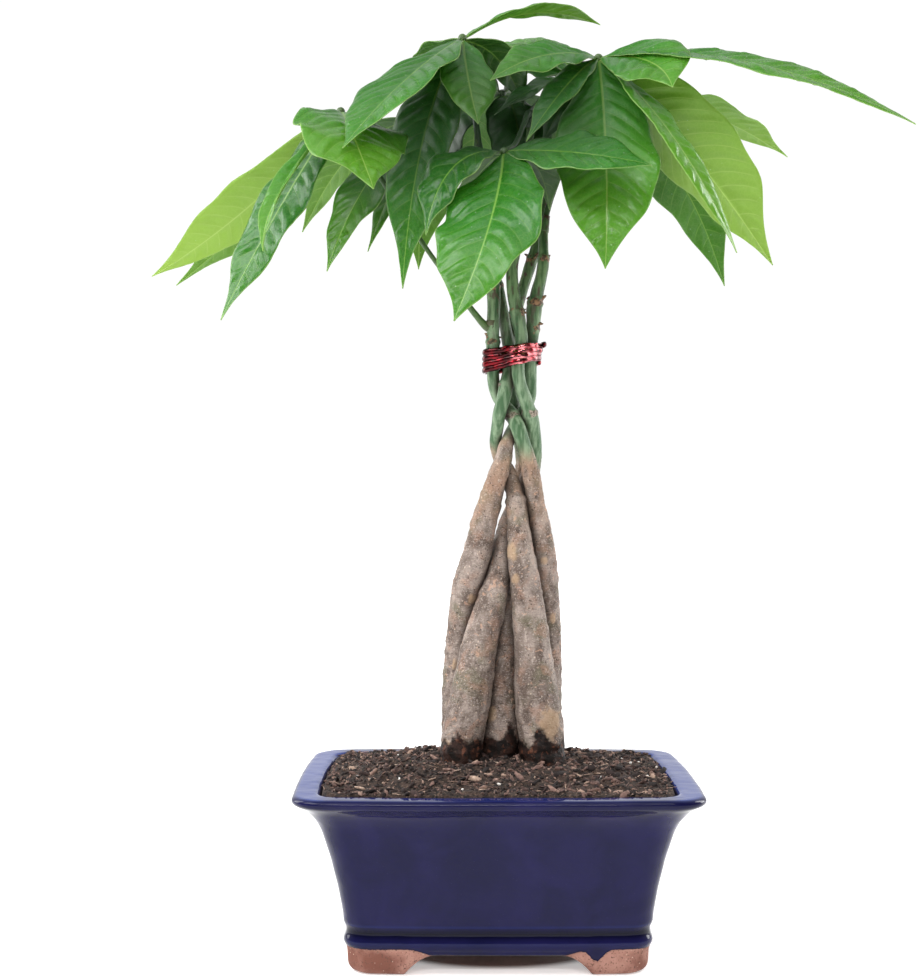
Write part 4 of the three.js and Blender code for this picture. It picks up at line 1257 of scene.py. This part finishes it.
def add_stem_part(pile, points, faces, brown):
    """Stalks and hubs carry the same values as blades, far from any vein or edge."""
    blade = np.tile([0.5, 0.0, 9.0], (len(points), 1))
    tone = np.column_stack([brown, np.zeros(len(points)), np.full(len(points), STEM)])
    pile.add(points, faces, blade=blade, tone=tone, inner=crown_shade_share(points))


def make_leaf(name, leaf, lines, look, seed):
    rng = np.random.default_rng(seed)
    hub = np.array(leaf["hub"], float)
    pile = Pile()
    add_stalk(pile, lines[leaf["trunk"]], leaf["height"], hub)
    for index, row in enumerate(leaf["leaflets"]):
        add_leaflet(pile, hub, row, index, rng)
    pile.piece(name + "_blades", look, [name])


def blade_color(look, veins, shade, age_and_painted_shade, beneath, edge):
    """Green that turns yellower on young blades and gets painted shade where age is below 0, with pale veins,
    margin and dots.
    """
    young = look.most(age_and_painted_shade, 0.0)
    light = look.step(look.plus(shade, look.sway(20, 3, 0.9)), 0.0, 1.0)
    upper = look.mix(light, (0.017, 0.118, 0.013), (0.045, 0.215, 0.024))
    upper = look.mix(young, upper, (0.15, 0.34, 0.025))
    lower = look.mix(light, (0.045, 0.125, 0.014), (0.08, 0.20, 0.020))
    lower = look.mix(young, lower, (0.25, 0.40, 0.06))
    color = look.mix(beneath, upper, lower)
    # Painted shade where the value falls below 0
    color = look.paint(color, age_and_painted_shade, -1.0, (0.004, 0.02, 0.004))
    color = look.mix(veins, color, look.mix(young, (0.16, 0.34, 0.06), (0.42, 0.58, 0.16)))
    # Pale margin: partly the blade's own colour, partly a painted edge highlight
    color = look.paint(color, look.step(edge, 0.6, 0.1), 0.6, (0.32, 0.48, 0.14))
    # Sparse pale dots
    pale_dots = look.step(look.cells(5.5), 0.075, 0.04)
    return look.paint(color, pale_dots, 0.7, (0.45, 0.58, 0.40))


def leaf_look():
    look = Look("leaf_green", Specular_IOR_Level=0.38)
    vein, rib, edge = look.values("blade")
    shade, age_and_painted_shade, part = look.values("tone")
    inner = look.value("inner")
    beneath = look.step(part, 0.4, 0.8)
    stalk = look.step(part, 1.3, 1.8)
    right = look.math("GREATER_THAN", rib, 0.0)
    spot = look.math("FRACT", look.plus(vein, look.times(right, 0.5)))
    apart = look.minus(0.5, look.math("ABSOLUTE", look.minus(spot, 0.5)))
    side_veins = look.times(look.step(apart, 0.06, 0.015), look.step(edge, 0.3, 6))
    side_veins = look.times(side_veins, look.plus(look.times(beneath, 0.2), 0.35))
    midrib = look.step(look.math("ABSOLUTE", rib), 0.8, 0.45)
    net = look.times(look.step(look.cells(2.4, "DISTANCE_TO_EDGE"), 0.12, 0.02), 0.15)
    veins = look.most(look.most(midrib, side_veins), net)

    color = blade_color(look, veins, shade, age_and_painted_shade, beneath, edge)
    stem = look.mix(look.noise(3, 3), (0.025, 0.06, 0.014), (0.08, 0.15, 0.04))
    stem = look.paint(stem, shade, 0.8, (0.065, 0.04, 0.026))
    color = look.mix(stalk, color, stem)
    # Painted shade inside the crown
    color = look.paint(color, inner, 0.95, (0.004, 0.022, 0.0035))
    gloss = look.plus(look.times(look.noise(5, 3), 0.2), 0.16)
    dull = look.most(look.most(beneath, stalk), inner)
    normal = look.bump(look.without(look.most(net, side_veins)), 0.16)
    normal = look.bump(look.noise(1.3, 2), 0.05, under=normal)
    look.shade(Base_Color=color, Roughness=look.plus(look.times(dull, 0.22), gloss), Normal=normal)

    through = look.mix(look.most(age_and_painted_shade, 0.0), (0.14, 0.43, 0.015), (0.52, 0.70, 0.16))
    glow = look.node("ShaderNodeBsdfTranslucent", {"Color": look.mix(veins, through, (0.5, 0.6, 0.12))})
    share = look.times(look.without(stalk), 0.38)
    share = look.times(share, look.without(look.times(inner, 0.7)))
    both = look.node("ShaderNodeMixShader", {"Fac": share, 1: look.shader.outputs[0], 2: glow.outputs[0]})
    look.feed(look.output.inputs["Surface"], both.outputs[0])
    return look


# Plastic for the drain meshes, which keep their solids

def dress_drain_meshes():
    look = Look("black_mesh_plastic", Roughness=0.55)
    color = look.mix(look.noise(3, 2), (0.012, 0.014, 0.016), (0.03, 0.034, 0.04))
    look.shade(Base_Color=color, Normal=look.bump(look.noise(0.8, 2), 0.1))
    for side in ("left", "right"):
        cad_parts["drain_mesh_" + side].material_slots[0].material = look.material


# The studio

def make_floor():
    """A white disc that glows more with distance, and not at all under the pot."""
    bpy.ops.mesh.primitive_circle_add(vertices=96, radius=FLOOR_RADIUS_M, fill_type="NGON")
    floor = bpy.context.object
    floor.name = "studio_floor"
    look = Look("studio_white", Roughness=0.9, Emission_Color=(1, 1, 1, 1))
    look.shade(Base_Color=look.mix(look.noise(400, 1), (0.86, 0.86, 0.86), (0.9, 0.9, 0.9)))
    inputs = {"Value": look.distance(), "From Min": 0.5, "From Max": 2.0, "To Min": 0.4, "To Max": 1.0}
    glow = look.node("ShaderNodeMapRange", inputs).outputs["Result"]
    outside = look.step(look.distance((0.66, 1, 1)), 0.034, 0.043)
    look.shade(Emission_Strength=look.times(glow, outside))
    floor.data.materials.append(look.material)


def make_world():
    """A white surround that is dim on the camera's side and bright behind the plant."""
    world = bpy.data.worlds.new("studio")
    bpy.context.scene.world = world
    nodes = Nodes(world)
    direction = nodes.split(nodes.node("ShaderNodeTexCoord").outputs["Generated"])
    background = nodes.tree.nodes["Background"]
    nodes.feed(background.inputs["Color"], (1, 1, 1, 1))
    nodes.feed(background.inputs["Strength"], nodes.step(direction[1], *WORLD_LIGHT))


def add_softbox(name, place, aim, size, power):
    data = bpy.data.lights.new(name, "AREA")
    data.shape = "RECTANGLE"
    data.size, data.size_y = (side * MM for side in size)
    data.energy = power
    lamp = bpy.data.objects.new(name, data)
    lamp.location = Vector(place) * MM
    lamp.rotation_euler = (Vector(aim) - Vector(place)).to_track_quat("-Z", "Y").to_euler()
    lamp.visible_camera = False
    bpy.context.scene.collection.objects.link(lamp)


def make_camera():
    data = bpy.data.cameras.new("camera")
    data.sensor_width = SENSOR
    data.lens = SENSOR * FOCAL_PIXELS / PICTURE_HEIGHT
    camera = bpy.data.objects.new("camera", data)
    camera.location = Vector(CAMERA) * MM
    camera.rotation_euler = (math.pi / 2, 0, 0)
    bpy.context.scene.collection.objects.link(camera)
    bpy.context.scene.camera = camera


lines = {name: trunk_line(name) for name in TRUNKS}
make_camera()
make_floor()
make_world()
for name, lamp in LAMPS.items():
    add_softbox(name, *lamp)
make_pot()
make_soil()
make_chips(lines)
bark = bark_look()
for seed, name in enumerate(TRUNKS):
    make_trunk(name, lines, bark, 10 + seed)
make_tie(lines)
green = leaf_look()
for seed, (name, leaf) in enumerate(LEAVES.items()):
    make_leaf(name, leaf, lines, green, 20 + seed)
dress_drain_meshes()
bpy.context.scene.view_settings.view_transform = "Standard"
